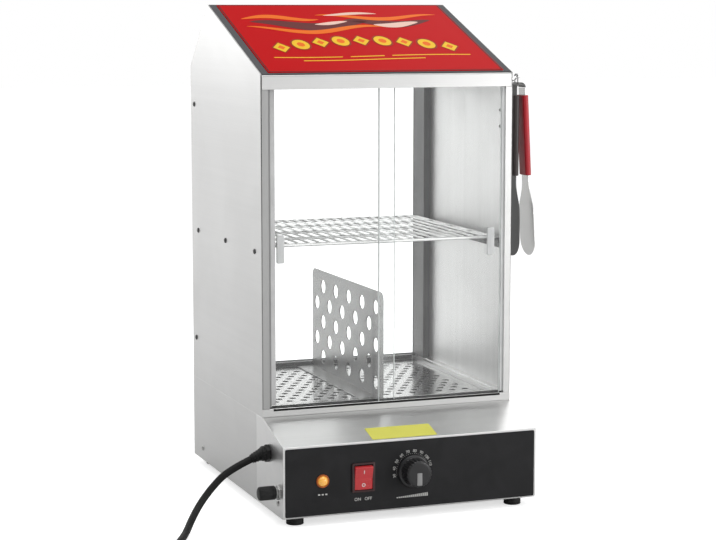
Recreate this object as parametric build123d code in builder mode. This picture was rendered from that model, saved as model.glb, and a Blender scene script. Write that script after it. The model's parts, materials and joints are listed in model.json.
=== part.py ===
"""Counter-top hot dog steamer: a glass cabinet with two sliding front doors on a heated water base.

Millimetres, +Z up, the front faces -Y. The forms are drawn about the middle of the case, and each finished
piece is set so that the origin is on the counter under the middle of the whole steamer without its lead.
"""
import math
import os

from build123d import *

os.makedirs("parts", exist_ok=True)

# ---------------------------------------------------------------- driving sizes
case_width = 305.0
case_depth = 285.0
ledge_depth = 72.5  # the control box stands this far out in front of the cabinet
middle_x = 5.5  # middle of the whole steamer without its lead, from the middle of the case
middle_y = -11.5
base_height = 100.5  # steel base, without its feet and without the deck
control_height = 81.0
deck_height = 9.5
front_height = 375.0  # cabinet front above the deck
rear_height = 377.0
ridge_rise = 77.0  # ridge above the front eave
ridge_setback = 208.0  # ridge behind the cabinet front
sheet = 1.0
seam = 0.3  # open seam between neighbouring sheets
flange = 8.5  # folded edge of the side panels
fold = 12.0  # folded edge of the base sheets

foot_height = 10.0
foot_radius = 10.0
foot_inset = 20.0

roof_front_lip = 16.5
roof_rear_lip = 10.0
sign_border = 10.0
sign_end_border = 4.0
sign_thickness = 1.2

rim_width = 15.0  # deck rim at the sides and the rear
floor_drop = 6.0  # the floor ledge lies this far under the rim
ledge_width = 8.0
housing_overlap = 24.0  # the control box reaches this far back along the base

glass = 4.0
groove = 6.0
track_wall = 1.5
track_middle_wall = 2.0
track_base = 1.2
top_track_depth = 12.0
door_width = 151.7
door_overlap = 22.0
door_lift = 0.3
door_head_room = 4.0
pull_width = 9.0
pull_height = 32.0
pull_thickness = 2.6
pull_inset = 9.0
pull_rise = 163.3  # pulls' lower end above the deck
left_buffer_depth = 14.0
right_buffer_depth = 4.2  # only as deep as the outer track it stands in
buffer_wall = 1.5

post_width = 9.3
post_depth = 39.0
post_wall = 1.2
rail_depth = 12.0
rear_top_rail = 14.0
rear_sill = 1.5
sill_lip = 0.6  # the sill laps this thick over the edge of the rear rim
glass_bite = 5.0
seal = 0.5

shelf_rise = 180.0  # shelf rails' top above the deck
shelf_half_width = 141.0
shelf_front_gap = 22.0
shelf_depth = 246.0
shelf_frame_rod = 4.0
shelf_wire = 2.5
shelf_wires = 21
shelf_ribs = 3
rail_leg = 12.0
rail_shelf_leg = 15.0
rail_thickness = 1.2

floor_thickness = 1.2
floor_play = 0.5
floor_hole = 8.0
floor_pitch = 17.0
floor_margin = 9.0

divider_height = 126.0
divider_thickness = 1.2
divider_foot = 23.0
divider_cut = 5.0  # lower corners cut off to clear the deck's step
divider_corner = 9.0
divider_hole = 16.5
divider_pitch = 46.0
divider_row = 22.2
divider_rows = 5
divider_columns = 5
divider_first_hole = 22.0
divider_top_margin = 19.7

tank_depth = 61.0
tank_corner = 20.0
tank_bottom_corner = 6.0
element_radius = 4.0
element_rise = 16.0
pipe_radius = 5.0
pipe_bore = 3.5
pipe_x = -86.0

lamp_x, lamp_z = -106.8, 50.5
lamp_radius = 7.5
switch_x, switch_z = -59.1, 51.0
switch_width, switch_height = 27.0, 33.0
button_width, button_height = 21.0, 28.0
dial_x, dial_z = 0.0, 54.0
knob_radius = 18.5
knob_grip_radius = 15.0
knob_length = 21.0
spindle_radius = 3.0
pointer_width = 6.0

overlay_thickness = 0.5
overlay_edge = 2.2
label_width, label_length = 78.0, 28.0

gland_y, gland_z = -128.25, 75.0
gland_radius = 10.0
gland_droop = 22.0  # the gland's tail points this far below level, in degrees
drain_inset = 14.5  # drain's middle behind the front of the control box
drain_z = 38.5
cap_radius = 7.8
cap_length = 19.0

hook_y_from_front = 27.0
arm_thickness = 1.2
arm_width = 18.0
paddle_width = 40.0
paddle_length = 49.0
bow_radius = 5.5
tongs_length = 198.0
grip_length = 94.0
grip_thickness = 7.0
arm_splay = 3.0  # degrees between the outer arm and the upright
loop_width = 10.0
loop_height = 13.0
loop_wire = 0.9  # radius

cord_radius = 4.1
screw_head = 3.2
screw_shank = 1.5
screw_clear = 0.1

# ---------------------------------------------------------------- derived places
overall_depth = case_depth + ledge_depth
half = case_width / 2
front_y = -overall_depth / 2
drain_y = front_y + drain_inset
case_y = front_y + ledge_depth
rear_y = overall_depth / 2
seam_y = case_y + housing_overlap
base_z = foot_height
base_top = base_z + base_height
deck_top = base_top + deck_height
control_top = base_z + control_height
eave_z = deck_top + front_height
rear_z = deck_top + rear_height
ridge_y = case_y + ridge_setback
ridge_z = eave_z + ridge_rise
front_slope = math.atan2(ridge_rise, ridge_setback)
rear_slope = math.atan2(ridge_z - rear_z, rear_y - ridge_y)
inside = half - sheet - seam  # half width between the side panels
ledge_z = deck_top - floor_drop - sheet
floor_bottom = ledge_z + 2 * sheet + 0.1
floor_top = floor_bottom + floor_thickness
opening_half = half - rim_width
track_y = case_y + sheet + 0.2
track_width = 2 * track_wall + track_middle_wall + 2 * groove
opening_front = track_y + track_width + seam + sheet
opening_rear = rear_y - rim_width
outer_pane_y = track_y + track_wall + groove / 2
inner_pane_y = track_y + track_wall + groove + track_middle_wall + groove / 2


# ---------------------------------------------------------------- helpers
def span_box(xs, ys, zs, mode=Mode.ADD):
    """A box between two places along each axis, added to the part being built."""
    middle = tuple(sum(pair) / 2 for pair in (xs, ys, zs))
    with Locations(middle):
        Box(abs(xs[1] - xs[0]), abs(ys[1] - ys[0]), abs(zs[1] - zs[0]), mode=mode)


def rod(start, axis, radius, length, mode=Mode.ADD):
    """A round bar from a start point along an axis, added to the part being built."""
    with Locations(Plane(origin=start, z_dir=axis)):
        Cylinder(radius, length, align=(Align.CENTER, Align.CENTER, Align.MIN), mode=mode)


def screw_hole(side, y, z):
    """A clearance hole through the sheets of one side wall, taken from the part being built."""
    rod((side * (half + 1), y, z), (-side, 0, 0), screw_shank + screw_clear, 9, Mode.SUBTRACT)


def facing_front(x, y, z):
    """A drawing plane that faces the front, with its X axis to the right and its Y axis up."""
    return Plane(origin=(x, y, z), x_dir=(1, 0, 0), z_dir=(0, -1, 0))


def write_piece(piece, name):
    """Set a finished sub-part over the middle of the whole steamer, label it and write its STEP file."""
    placed = piece.part.moved(Location((-middle_x, -middle_y, 0)))
    placed.label = name
    export_step(placed, f"parts/{name}.step")


def roof_height(y, drop=0.0):
    """Height of the roof's outer face at a depth, less a thickness measured square to it."""
    front = eave_z + (y - case_y) * math.tan(front_slope) - drop / math.cos(front_slope)
    rear = rear_z + (rear_y - y) * math.tan(rear_slope) - drop / math.cos(rear_slope)
    return min(front, rear)


def roof_ridge(drop):
    """Depth and height of the ridge of a face that lies a thickness under the roof."""
    rise = (
        rear_z - drop / math.cos(rear_slope) + rear_y * math.tan(rear_slope)
        - eave_z + drop / math.cos(front_slope) + case_y * math.tan(front_slope)
    )
    y = rise / (math.tan(front_slope) + math.tan(rear_slope))
    return y, roof_height(y, drop)


# ---------------------------------------------------------------- steel base
tank_half = opening_half - ledge_width
tank_front = opening_front + ledge_width
tank_rear = opening_rear - ledge_width
tank_bottom = ledge_z + sheet - tank_depth
ledge_slope = math.atan2(base_top - control_top, ledge_depth)
screw_rows = [front_y + 18.5, rear_y - 40.0]
screw_z = base_z + 15.0

with BuildPart() as base_shell:
    with BuildSketch(Plane.XY.offset(base_z)):
        with Locations((0, (seam_y + rear_y + seam) / 2)):
            Rectangle(case_width, rear_y - seam_y - seam)
        with Locations((0, (seam_y + rear_y + seam) / 2 - sheet)):
            Rectangle(case_width - 2 * sheet, rear_y - seam_y - seam, mode=Mode.SUBTRACT)
    extrude(amount=base_height - seam / 3)
    for side in (-1, 1):
        span_box((side * half, side * (half - fold)), (seam_y + seam, rear_y), (base_z, base_z + sheet))
    span_box((-half, half), (rear_y - fold, rear_y), (base_z, base_z + sheet))
    for side in (-1, 1):
        screw_hole(side, screw_rows[1], screw_z)
        rod((side * (half - foot_inset), rear_y - foot_inset, 0), (0, 0, 1), 2.1, 30, Mode.SUBTRACT)
write_piece(base_shell, "base_shell")

with BuildPart() as control_housing:
    with BuildSketch(Plane.YZ.offset(-half)):
        with BuildLine():
            Polyline(
                (front_y, base_z),
                (front_y, control_top),
                (case_y, base_top - seam / 3),
                (seam_y, base_top - seam / 3),
                (seam_y, base_z),
                close=True,
            )
        make_face()
    extrude(amount=case_width)
    top_drop = sheet / math.cos(ledge_slope)
    with BuildSketch(Plane.YZ.offset(-half + sheet)):
        with BuildLine():
            Polyline(
                (front_y + sheet, base_z - 1),
                (front_y + sheet, control_top - top_drop),
                (case_y, base_top - seam / 3 - top_drop),
                (case_y + sheet, base_top - seam / 3 - top_drop),
                (case_y + sheet, base_top + 1),
                (seam_y + 1, base_top + 1),
                (seam_y + 1, base_z - 1),
                close=True,
            )
        make_face()
    extrude(amount=case_width - 2 * sheet, mode=Mode.SUBTRACT)
    bends = control_housing.edges().filter_by(Axis.X).group_by(Axis.Y)[0]
    fillet(bends.sort_by(Axis.Z)[-1], 0.9 * sheet)
    span_box((-half, half), (front_y, front_y + fold), (base_z, base_z + sheet))
    for side in (-1, 1):
        span_box((side * half, side * (half - fold)), (front_y, seam_y), (base_z, base_z + sheet))
        rod((side * (half - foot_inset), front_y + foot_inset, 0), (0, 0, 1), 2.1, 30, Mode.SUBTRACT)
        screw_hole(side, screw_rows[0], screw_z)
    rod((-half - 1, gland_y, gland_z), (1, 0, 0), gland_radius * 0.6 + seam / 3, 3, Mode.SUBTRACT)
    rod((-half - 1, drain_y, drain_z), (1, 0, 0), pipe_radius + seam / 3, 3, Mode.SUBTRACT)
    rod((lamp_x, front_y - 1, lamp_z), (0, 1, 0), lamp_radius - 1.5 + seam / 3, 3, Mode.SUBTRACT)
    rod((dial_x, front_y - 1, dial_z), (0, 1, 0), spindle_radius + 1.0, 3, Mode.SUBTRACT)
    span_box(
        (switch_x - switch_width / 2 + 2, switch_x + switch_width / 2 - 2),
        (front_y - 1, front_y + 2),
        (switch_z - switch_height / 2 + 2, switch_z + switch_height / 2 - 2),
        Mode.SUBTRACT,
    )
write_piece(control_housing, "control_housing")

plate_z = base_z + sheet
with BuildPart() as bottom_plate:
    span_box(
        (-half + sheet + seam, half - sheet - seam),
        (front_y + sheet + seam, rear_y - sheet - seam),
        (plate_z, plate_z + sheet),
    )
    for side in (-1, 1):
        for y in (front_y + foot_inset, rear_y - foot_inset):
            rod((side * (half - foot_inset), y, 0), (0, 0, 1), 2.1, 30, Mode.SUBTRACT)
        lip = (side * (half - sheet - seam), side * (half - 2 * sheet - seam))
        span_box(lip, (front_y + sheet + seam, rear_y - sheet - seam), (plate_z, plate_z + 10))
        for y in screw_rows:
            screw_hole(side, y, screw_z)
    with Locations((0, 40, plate_z + sheet / 2)):
        with GridLocations(16, 30, 9, 3):
            Box(3, 18, 3, mode=Mode.SUBTRACT)
write_piece(bottom_plate, "bottom_plate")

foot_rows = (front_y + foot_inset, rear_y - foot_inset)
foot_places = [(side * (half - foot_inset), y) for side in (-1, 1) for y in foot_rows]
with BuildPart() as rubber_feet:
    with BuildSketch():
        with Locations(*foot_places):
            Circle(foot_radius)
    extrude(amount=foot_height, taper=3)
    with BuildSketch():
        with Locations(*foot_places):
            Circle(5)
    extrude(amount=4, mode=Mode.SUBTRACT)
    with BuildSketch():
        with Locations(*foot_places):
            Circle(2.1)
    extrude(amount=foot_height, mode=Mode.SUBTRACT)
write_piece(rubber_feet, "rubber_feet")

with BuildPart() as foot_screws:
    with BuildSketch(Plane.XY.offset(4 - 2.4)):
        with Locations(*foot_places):
            Circle(4)
    extrude(amount=2.4)
    with BuildSketch(Plane.XY.offset(4)):
        with Locations(*foot_places):
            Circle(2)
    extrude(amount=plate_z + sheet + 4.5 - 4)
    with BuildSketch(Plane.XY.offset(plate_z + sheet)):
        with Locations(*foot_places):
            RegularPolygon(4, 6)
    extrude(amount=3.2)
write_piece(foot_screws, "foot_screws")

with BuildPart() as cabinet_deck:
    with BuildSketch(Plane.XY.offset(base_top)):
        with Locations((0, (case_y + rear_y) / 2)):
            Rectangle(case_width, case_depth)
            Rectangle(case_width - 2 * sheet, case_depth - 2 * sheet, mode=Mode.SUBTRACT)
    extrude(amount=deck_height)
    span_box((-half, half), (case_y, rear_y), (deck_top - sheet, deck_top))
    opening_ys = (opening_front, opening_rear)
    wall_ys = (opening_front - sheet, opening_rear + sheet)
    span_box((-opening_half - sheet, opening_half + sheet), wall_ys, (ledge_z, deck_top))
    span_box((-half + sheet, half - sheet), (case_y + sheet, opening_front), (ledge_z, ledge_z + sheet))
    span_box((-opening_half, opening_half), opening_ys, (ledge_z + sheet, deck_top + 1), Mode.SUBTRACT)
    track_ys = (case_y + sheet, opening_front - sheet)
    span_box((-half + sheet, half - sheet), track_ys, (ledge_z + sheet, deck_top + 1), Mode.SUBTRACT)
    tank_ys = (tank_front - seam, tank_rear + seam)
    span_box((-tank_half - seam, tank_half + seam), tank_ys, (ledge_z - 5, deck_top), Mode.SUBTRACT)
write_piece(cabinet_deck, "cabinet_deck")

with BuildPart() as water_tank:
    with BuildSketch(Plane.XY.offset(tank_bottom)):
        with Locations((0, (tank_front + tank_rear) / 2)):
            RectangleRounded(2 * tank_half, tank_rear - tank_front, tank_corner)
    extrude(amount=tank_depth)
    fillet(water_tank.faces().sort_by(Axis.Z)[0].edges(), tank_bottom_corner)
    offset(amount=-sheet, openings=water_tank.faces().sort_by(Axis.Z)[-1])
    with BuildSketch(Plane.XY.offset(ledge_z + sheet)):
        with Locations((0, (opening_front + opening_rear) / 2)):
            Rectangle(2 * (opening_half - floor_play), opening_rear - opening_front - 2 * floor_play)
        with Locations((0, (tank_front + tank_rear) / 2)):
            inner_length = tank_rear - tank_front - 2 * sheet
            RectangleRounded(2 * (tank_half - sheet), inner_length, tank_corner - sheet, mode=Mode.SUBTRACT)
    extrude(amount=sheet)
    element_z = tank_bottom + element_rise
    for x in (-30, 30):
        rod((x, tank_front - 2, element_z), (0, 1, 0), element_radius + seam / 3, 4, Mode.SUBTRACT)
    rod((pipe_x, tank_front + 24, tank_bottom - 1), (0, 0, 1), pipe_bore, 4, Mode.SUBTRACT)
write_piece(water_tank, "water_tank")

element_end = tank_front - 24
with BuildPart() as heating_element:
    with BuildLine(Plane.XY.offset(element_z)) as element_path:
        FilletPolyline(
            (-30, element_end),
            (-30, tank_front + 36),
            (-98, tank_front + 36),
            (-98, tank_rear - 28),
            (98, tank_rear - 28),
            (98, tank_front + 36),
            (30, tank_front + 36),
            (30, element_end),
            radius=18,
        )
    with BuildSketch(Plane(origin=(-30, element_end, element_z), z_dir=(0, 1, 0))):
        Circle(element_radius)
    sweep(path=element_path.line)
    for x in (-30, 30):
        rod((x, element_end + 1, element_z), (0, -1, 0), 1.5, 9)
write_piece(heating_element, "heating_element")

with BuildPart() as element_nuts:
    for x in (-30, 30):
        with BuildSketch(facing_front(x, tank_front - seam, element_z)):
            RegularPolygon(9, 6)
            Circle(element_radius + seam / 3, mode=Mode.SUBTRACT)
        extrude(amount=6)
        with BuildSketch(Plane(origin=(x, tank_front + sheet + seam, element_z), z_dir=(0, 1, 0))):
            Circle(8)
            Circle(element_radius + seam / 3, mode=Mode.SUBTRACT)
        extrude(amount=3)
write_piece(element_nuts, "element_nuts")

fitting_length = 5.0
with BuildPart() as drain_pipe:
    with BuildLine() as pipe_path:
        FilletPolyline(
            (pipe_x, tank_front + 24, tank_bottom),
            (pipe_x, tank_front + 24, drain_z),
            (pipe_x, drain_y, drain_z),
            (-half - fitting_length - 6, drain_y, drain_z),
            radius=9,
        )
    with BuildSketch(Plane(origin=(pipe_x, tank_front + 24, tank_bottom), z_dir=(0, 0, -1))):
        Circle(pipe_radius)
        Circle(pipe_bore, mode=Mode.SUBTRACT)
    sweep(path=pipe_path.line)
write_piece(drain_pipe, "drain_pipe")

with BuildPart() as drain_fitting:
    with BuildSketch(Plane(origin=(-half, drain_y, drain_z), z_dir=(-1, 0, 0))):
        RegularPolygon(8.5, 6)
        Circle(pipe_radius + seam / 3, mode=Mode.SUBTRACT)
    extrude(amount=3)
    with BuildSketch(Plane(origin=(-half - 3, drain_y, drain_z), z_dir=(-1, 0, 0))):
        Circle(6.5)
        Circle(pipe_radius + seam / 3, mode=Mode.SUBTRACT)
    extrude(amount=fitting_length - 3)
    with BuildSketch(Plane(origin=(-half + sheet, drain_y, drain_z), z_dir=(1, 0, 0))):
        RegularPolygon(8.5, 6)
        Circle(pipe_radius + seam / 3, mode=Mode.SUBTRACT)
    extrude(amount=4)
write_piece(drain_fitting, "drain_fitting")

cap_x = -half - fitting_length - seam
with BuildPart() as drain_cap:
    with BuildSketch(Plane(origin=(cap_x, drain_y, drain_z), z_dir=(-1, 0, 0))):
        Circle(cap_radius)
    extrude(amount=cap_length)
    fillet(drain_cap.faces().sort_by(Axis.X)[0].edges(), 1.5)
    rod((cap_x + 1, drain_y, drain_z), (-1, 0, 0), pipe_radius + seam / 3, 8, Mode.SUBTRACT)
write_piece(drain_cap, "drain_cap")

# ---------------------------------------------------------------- controls
overlay_x = half - overlay_edge
with BuildPart() as control_overlay:
    with BuildSketch(facing_front(0, front_y, 0)):
        with Locations((0, (base_z + control_top) / 2)):
            RectangleRounded(2 * overlay_x, control_height - 2 * overlay_edge, 2)
        with Locations((lamp_x, lamp_z)):
            Circle(lamp_radius - 1.5 + seam / 3, mode=Mode.SUBTRACT)
        with Locations((dial_x, dial_z)):
            Circle(spindle_radius + 1.0, mode=Mode.SUBTRACT)
        with Locations((switch_x, switch_z)):
            Rectangle(switch_width - 4, switch_height - 4, mode=Mode.SUBTRACT)
    extrude(amount=overlay_thickness)
write_piece(control_overlay, "control_overlay")

face_y = front_y - overlay_thickness
with BuildPart() as pilot_lamp:
    with BuildSketch(facing_front(lamp_x, face_y, lamp_z)):
        Circle(lamp_radius)
    extrude(amount=1.6)
    rod((lamp_x, face_y, lamp_z), (0, 1, 0), lamp_radius - 1.5, 22)
    for x in (-2.5, 2.5):
        span_box((lamp_x + x - 0.4, lamp_x + x + 0.4), (face_y + 22, face_y + 30), (lamp_z - 2, lamp_z + 2))
write_piece(pilot_lamp, "pilot_lamp")

with BuildPart() as lamp_lens:
    rod((lamp_x, face_y - 1.6, lamp_z), (0, -1, 0), lamp_radius - 1.6, 3.4)
    fillet(lamp_lens.faces().sort_by(Axis.Y)[0].edges(), 2.6)
write_piece(lamp_lens, "lamp_lens")

bezel_thickness = 2.0
pivot_depth = 4.0
pivot_radius = 1.4
with BuildPart() as switch_body:
    with BuildSketch(facing_front(switch_x, face_y, switch_z)):
        RectangleRounded(switch_width, switch_height, 1.5)
    extrude(amount=bezel_thickness)
    inner = (switch_width / 2 - 2 - seam / 3, switch_height / 2 - 2 - seam / 3)
    xs, zs = (switch_x - inner[0], switch_x + inner[0]), (switch_z - inner[1], switch_z + inner[1])
    span_box(xs, (face_y, face_y + 24), zs)
    well = (button_width / 2 + 0.4, button_height / 2 + 0.4)
    span_box(
        (switch_x - well[0], switch_x + well[0]),
        (face_y - bezel_thickness - 1, face_y + 12),
        (switch_z - well[1], switch_z + well[1]),
        Mode.SUBTRACT,
    )
    pivot_half = button_width / 2 + 0.9
    pivot_start = (switch_x - pivot_half, face_y + pivot_depth, switch_z)
    rod(pivot_start, (1, 0, 0), pivot_radius + 0.1, 2 * pivot_half, Mode.SUBTRACT)
    for x in (-6, 6):
        for z in (-9, 0):
            span_box(
                (switch_x + x - 0.4, switch_x + x + 0.4), (face_y + 24, face_y + 33),
                (switch_z + z - 3, switch_z + z + 3),
            )
write_piece(switch_body, "switch_body")

rocker_pivot_y = face_y + pivot_depth
rocker_turn = math.radians(8.0)
rocker_shape = [(4, -5), (-2, -13.8), (-7.4, -13.1), (-6.2, 0), (-7.4, 13.1), (-2, 13.8), (4, 5)]
rocker_corners = [
    (
        rocker_pivot_y + y * math.cos(rocker_turn) - z * math.sin(rocker_turn),
        switch_z + y * math.sin(rocker_turn) + z * math.cos(rocker_turn),
    )
    for y, z in rocker_shape
]
with BuildPart() as rocker_button:
    with BuildSketch(Plane.YZ.offset(switch_x - button_width / 2)):
        with BuildLine():
            Polyline(*rocker_corners, close=True)
        make_face()
    extrude(amount=button_width)
    fillet(rocker_button.edges().filter_by(Axis.X).sort_by(Axis.Y)[:3], 0.8)
    pin_half = button_width / 2 + 0.8
    rod((switch_x - pin_half, rocker_pivot_y, switch_z), (1, 0, 0), pivot_radius, 2 * pin_half)
write_piece(rocker_button, "rocker_button")

with BuildPart() as thermostat_body:
    body_y = front_y + sheet
    span_box((dial_x - 18, dial_x + 18), (body_y, body_y + 1.2), (dial_z - 15, dial_z + 15))
    span_box((dial_x - 15, dial_x + 15), (body_y + 1.2, body_y + 20), (dial_z - 13, dial_z + 13))
    rod((dial_x, body_y - 1, dial_z), (0, 1, 0), spindle_radius + 0.05, 12, Mode.SUBTRACT)
    for x in (-9, 9):
        span_box((dial_x + x - 3, dial_x + x + 3), (body_y + 20, body_y + 28), (dial_z + 4, dial_z + 4.8))
write_piece(thermostat_body, "thermostat_body")

with BuildPart() as thermostat_spindle:
    spindle_length = 10.5 + sheet + overlay_thickness + 14
    rod((dial_x, front_y + sheet + 10.5, dial_z), (0, -1, 0), spindle_radius, spindle_length)
    span_box(
        (dial_x - spindle_radius, dial_x + spindle_radius),
        (face_y - 14, face_y - 3),
        (dial_z + spindle_radius - 1.4, dial_z + spindle_radius),
        Mode.SUBTRACT,
    )
write_piece(thermostat_spindle, "thermostat_spindle")

knob_gap = 0.8
with BuildPart() as thermostat_knob:
    back, front = face_y - knob_gap, face_y - knob_gap - knob_length
    with BuildSketch(Plane.YZ.offset(dial_x)):
        with BuildLine():
            Polyline(
                (back, dial_z),
                (back, dial_z + knob_radius),
                (back - 4.5, dial_z + knob_radius),
                (back - 5.5, dial_z + knob_radius - 1.0),
                (back - 5.5, dial_z + knob_grip_radius + 1.0),
                (front + 1.2, dial_z + knob_grip_radius),
                (front, dial_z + knob_grip_radius - 1.2),
                (front, dial_z),
                close=True,
            )
        make_face()
    revolve(axis=Axis((dial_x, 0, dial_z), (0, 1, 0)))
    with BuildSketch(facing_front(dial_x, back - 8, dial_z)):
        with PolarLocations(knob_grip_radius + 2.1, 18):
            Circle(1.8)
    extrude(amount=knob_length, mode=Mode.SUBTRACT)
    pointer_xs = (dial_x - pointer_width / 2, dial_x + pointer_width / 2)
    pointer_zs = (dial_z - knob_grip_radius + 2.2, dial_z + 1.5)
    span_box(pointer_xs, (front - 1, front + 1.0), pointer_zs, Mode.SUBTRACT)
    rod((dial_x, face_y, dial_z), (0, -1, 0), spindle_radius + 0.05, 14.2, Mode.SUBTRACT)
    span_box(
        (dial_x - spindle_radius, dial_x + spindle_radius),
        (face_y - 14.2, face_y - 3),
        (dial_z + spindle_radius - 1.35, dial_z + spindle_radius),
    )
write_piece(thermostat_knob, "thermostat_knob")

with BuildPart() as knob_pointer:
    span_box(pointer_xs, (front - 0.4, front + 1.0), pointer_zs)
write_piece(knob_pointer, "knob_pointer")

bulb_y, bulb_z = tank_front - 6.0, tank_bottom + 36.0
bay_y = front_y + 42.75  # behind the backs of the switch and the thermostat
with BuildPart() as thermostat_bulb:
    rod((52, bulb_y, bulb_z), (1, 0, 0), 3.5, 68)
    with BuildLine() as capillary:
        FilletPolyline(
            (52, bulb_y, bulb_z),
            (34, bulb_y, bulb_z),
            (34, bulb_y - 20, bulb_z),
            (0, bulb_y - 20, bulb_z),
            (0, bay_y, bulb_z),
            (0, bay_y, dial_z - 6),
            (0, front_y + sheet + 20, dial_z - 6),
            radius=6,
        )
    with BuildSketch(Plane(origin=(52, bulb_y, bulb_z), z_dir=(-1, 0, 0))):
        Circle(0.9)
    sweep(path=capillary.line)
write_piece(thermostat_bulb, "thermostat_bulb")

with BuildPart() as bulb_clips:
    for x in (66, 106):
        span_box((x - 4, x + 4), (bulb_y - 4.5, tank_front), (bulb_z - 4.5, bulb_z + 4.5))
        rod((x - 5, bulb_y, bulb_z), (1, 0, 0), 3.6, 10, Mode.SUBTRACT)
        span_box((x - 4, x + 4), (bulb_y, tank_front - 1), (bulb_z - 3, bulb_z + 3), Mode.SUBTRACT)
write_piece(bulb_clips, "bulb_clips")

cutout_x, cutout_z = -60.0, tank_bottom + 24.0
with BuildPart() as safety_cutout:
    rod((cutout_x, tank_front, cutout_z), (0, -1, 0), 9, 3)
    rod((cutout_x, tank_front - 3, cutout_z), (0, -1, 0), 7.5, 7)
    for x in (-4, 4):
        xs = (cutout_x + x - 2, cutout_x + x + 2)
        span_box(xs, (tank_front - 18, tank_front - 10), (cutout_z - 0.4, cutout_z + 0.4))
write_piece(safety_cutout, "safety_cutout")

block_x, block_y = -118.0, case_y + 8.0
block_top = plate_z + sheet + 14
near_row, far_row = block_y - 4.5, block_y + 4.5
with BuildPart() as terminal_block:
    span_box((block_x - 16, block_x + 16), (block_y - 9, block_y + 9), (plate_z + sheet, block_top))
    with Locations((block_x, near_row, block_top), (block_x, far_row, block_top)):
        with GridLocations(10, 1, 3, 1):
            Hole(2.2, depth=5)
write_piece(terminal_block, "terminal_block")

wire_radius = 1.2
tab_y = front_y + sheet + 28
wire_routes = [
    [
        (-half + 9.5, gland_y, gland_z),
        (-126, gland_y, gland_z),
        (-126, gland_y, 48),
        (block_x - 10, near_row, 48),
        (block_x - 10, near_row, block_top - 4),
    ],
    [
        (block_x, near_row, block_top - 4),
        (block_x, near_row, 56),
        (-75, block_y - 14, 56),
        (switch_x - 6, bay_y + 6, switch_z),
        (switch_x - 6, face_y + 33, switch_z),
    ],
    [
        (block_x + 10, far_row, block_top - 4),
        (block_x + 10, far_row, 64),
        (-80, block_y - 20, 68),
        (lamp_x + 2.5, bay_y + 4, 68),
        (lamp_x + 2.5, bay_y + 4, lamp_z),
        (lamp_x + 2.5, face_y + 30, lamp_z),
    ],
    [
        (switch_x + 6, face_y + 33, switch_z),
        (switch_x + 6, bay_y + 8, switch_z),
        (-20, bay_y + 8, dial_z + 6),
        (-9, bay_y + 4, dial_z + 4.4),
        (-9, tab_y, dial_z + 4.4),
    ],
    [
        (9, tab_y, dial_z + 4.4),
        (9, bay_y, dial_z + 4.4),
        (24, bay_y + 14, dial_z + 8),
        (30, bay_y + 18, element_z),
        (30, element_end - 8, element_z),
    ],
    [
        (-30, element_end - 8, element_z),
        (-30, bay_y + 18, element_z),
        (-44, bay_y + 16, cutout_z + 2),
        (cutout_x + 4, bay_y + 20, cutout_z),
        (cutout_x + 4, tank_front - 18, cutout_z),
    ],
]
with BuildPart() as wiring:
    for route in wire_routes:
        with BuildLine() as wire_line:
            FilletPolyline(*route, radius=3)
        with BuildSketch(Plane(origin=route[0], z_dir=Vector(*route[1]) - Vector(*route[0]))):
            Circle(wire_radius)
        sweep(path=wire_line.line)
write_piece(wiring, "wiring")

# ---------------------------------------------------------------- cabinet walls and roof
panel_drop = sheet + seam
shelf_z = deck_top + shelf_rise
rail_rear = rear_y - sheet - seam - post_depth - seam
shelf_screw_z = shelf_z - 3.5
side_screws = [
    (rear_y - 16, deck_top + 331),
    (rear_y - 16, deck_top + 41),
    (rear_y - 29, shelf_screw_z),
    (rear_y - 145, shelf_screw_z),
    (case_y + 26, shelf_screw_z),
]
hook_y = case_y + hook_y_from_front
hook_screws_z = [eave_z - 64, eave_z - 45]


def side_outline(drop):
    """Corners of a side panel whose top edges lie a thickness under the roof's outer face."""
    ridge = roof_ridge(drop)
    return [
        (case_y, deck_top),
        (case_y, roof_height(case_y, drop)),
        ridge,
        (rear_y, roof_height(rear_y, drop)),
        (rear_y, deck_top),
    ]


def make_side_panel(side, name):
    """One side panel: a folded steel sheet whose edges turn inward all round."""
    out = -half if side < 0 else half
    inward = Plane(origin=(out, 0, 0), x_dir=(0, 1, 0), z_dir=(-side, 0, 0))
    flip = 1 if inward.y_dir.Z > 0 else -1
    with BuildPart() as panel:
        with BuildSketch(inward):
            Polygon(*[(y, flip * z) for y, z in side_outline(0)], align=None)
        extrude(amount=sheet)
        with BuildSketch(inward):
            Polygon(*[(y, flip * z) for y, z in side_outline(panel_drop)], align=None)
        extrude(amount=flange)
        with BuildSketch(inward.offset(sheet)):
            Polygon(*[(y, flip * z) for y, z in side_outline(panel_drop)], align=None)
            offset(amount=-sheet, kind=Kind.INTERSECTION, mode=Mode.REPLACE)
        extrude(amount=flange, mode=Mode.SUBTRACT)
        lip_x = (side * (half - sheet), side * (half - flange - 1))
        span_box(lip_x, (case_y - 1, case_y + sheet), (eave_z - roof_front_lip - seam, eave_z), Mode.SUBTRACT)
        span_box(lip_x, (rear_y - sheet, rear_y + 1), (rear_z - roof_rear_lip - seam, rear_z), Mode.SUBTRACT)
        for y, z in side_screws:
            screw_hole(side, y, z)
        if side > 0:
            for z in hook_screws_z:
                screw_hole(side, hook_y, z)
    write_piece(panel, name)


make_side_panel(-1, "left_side_panel")
make_side_panel(1, "right_side_panel")

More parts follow.
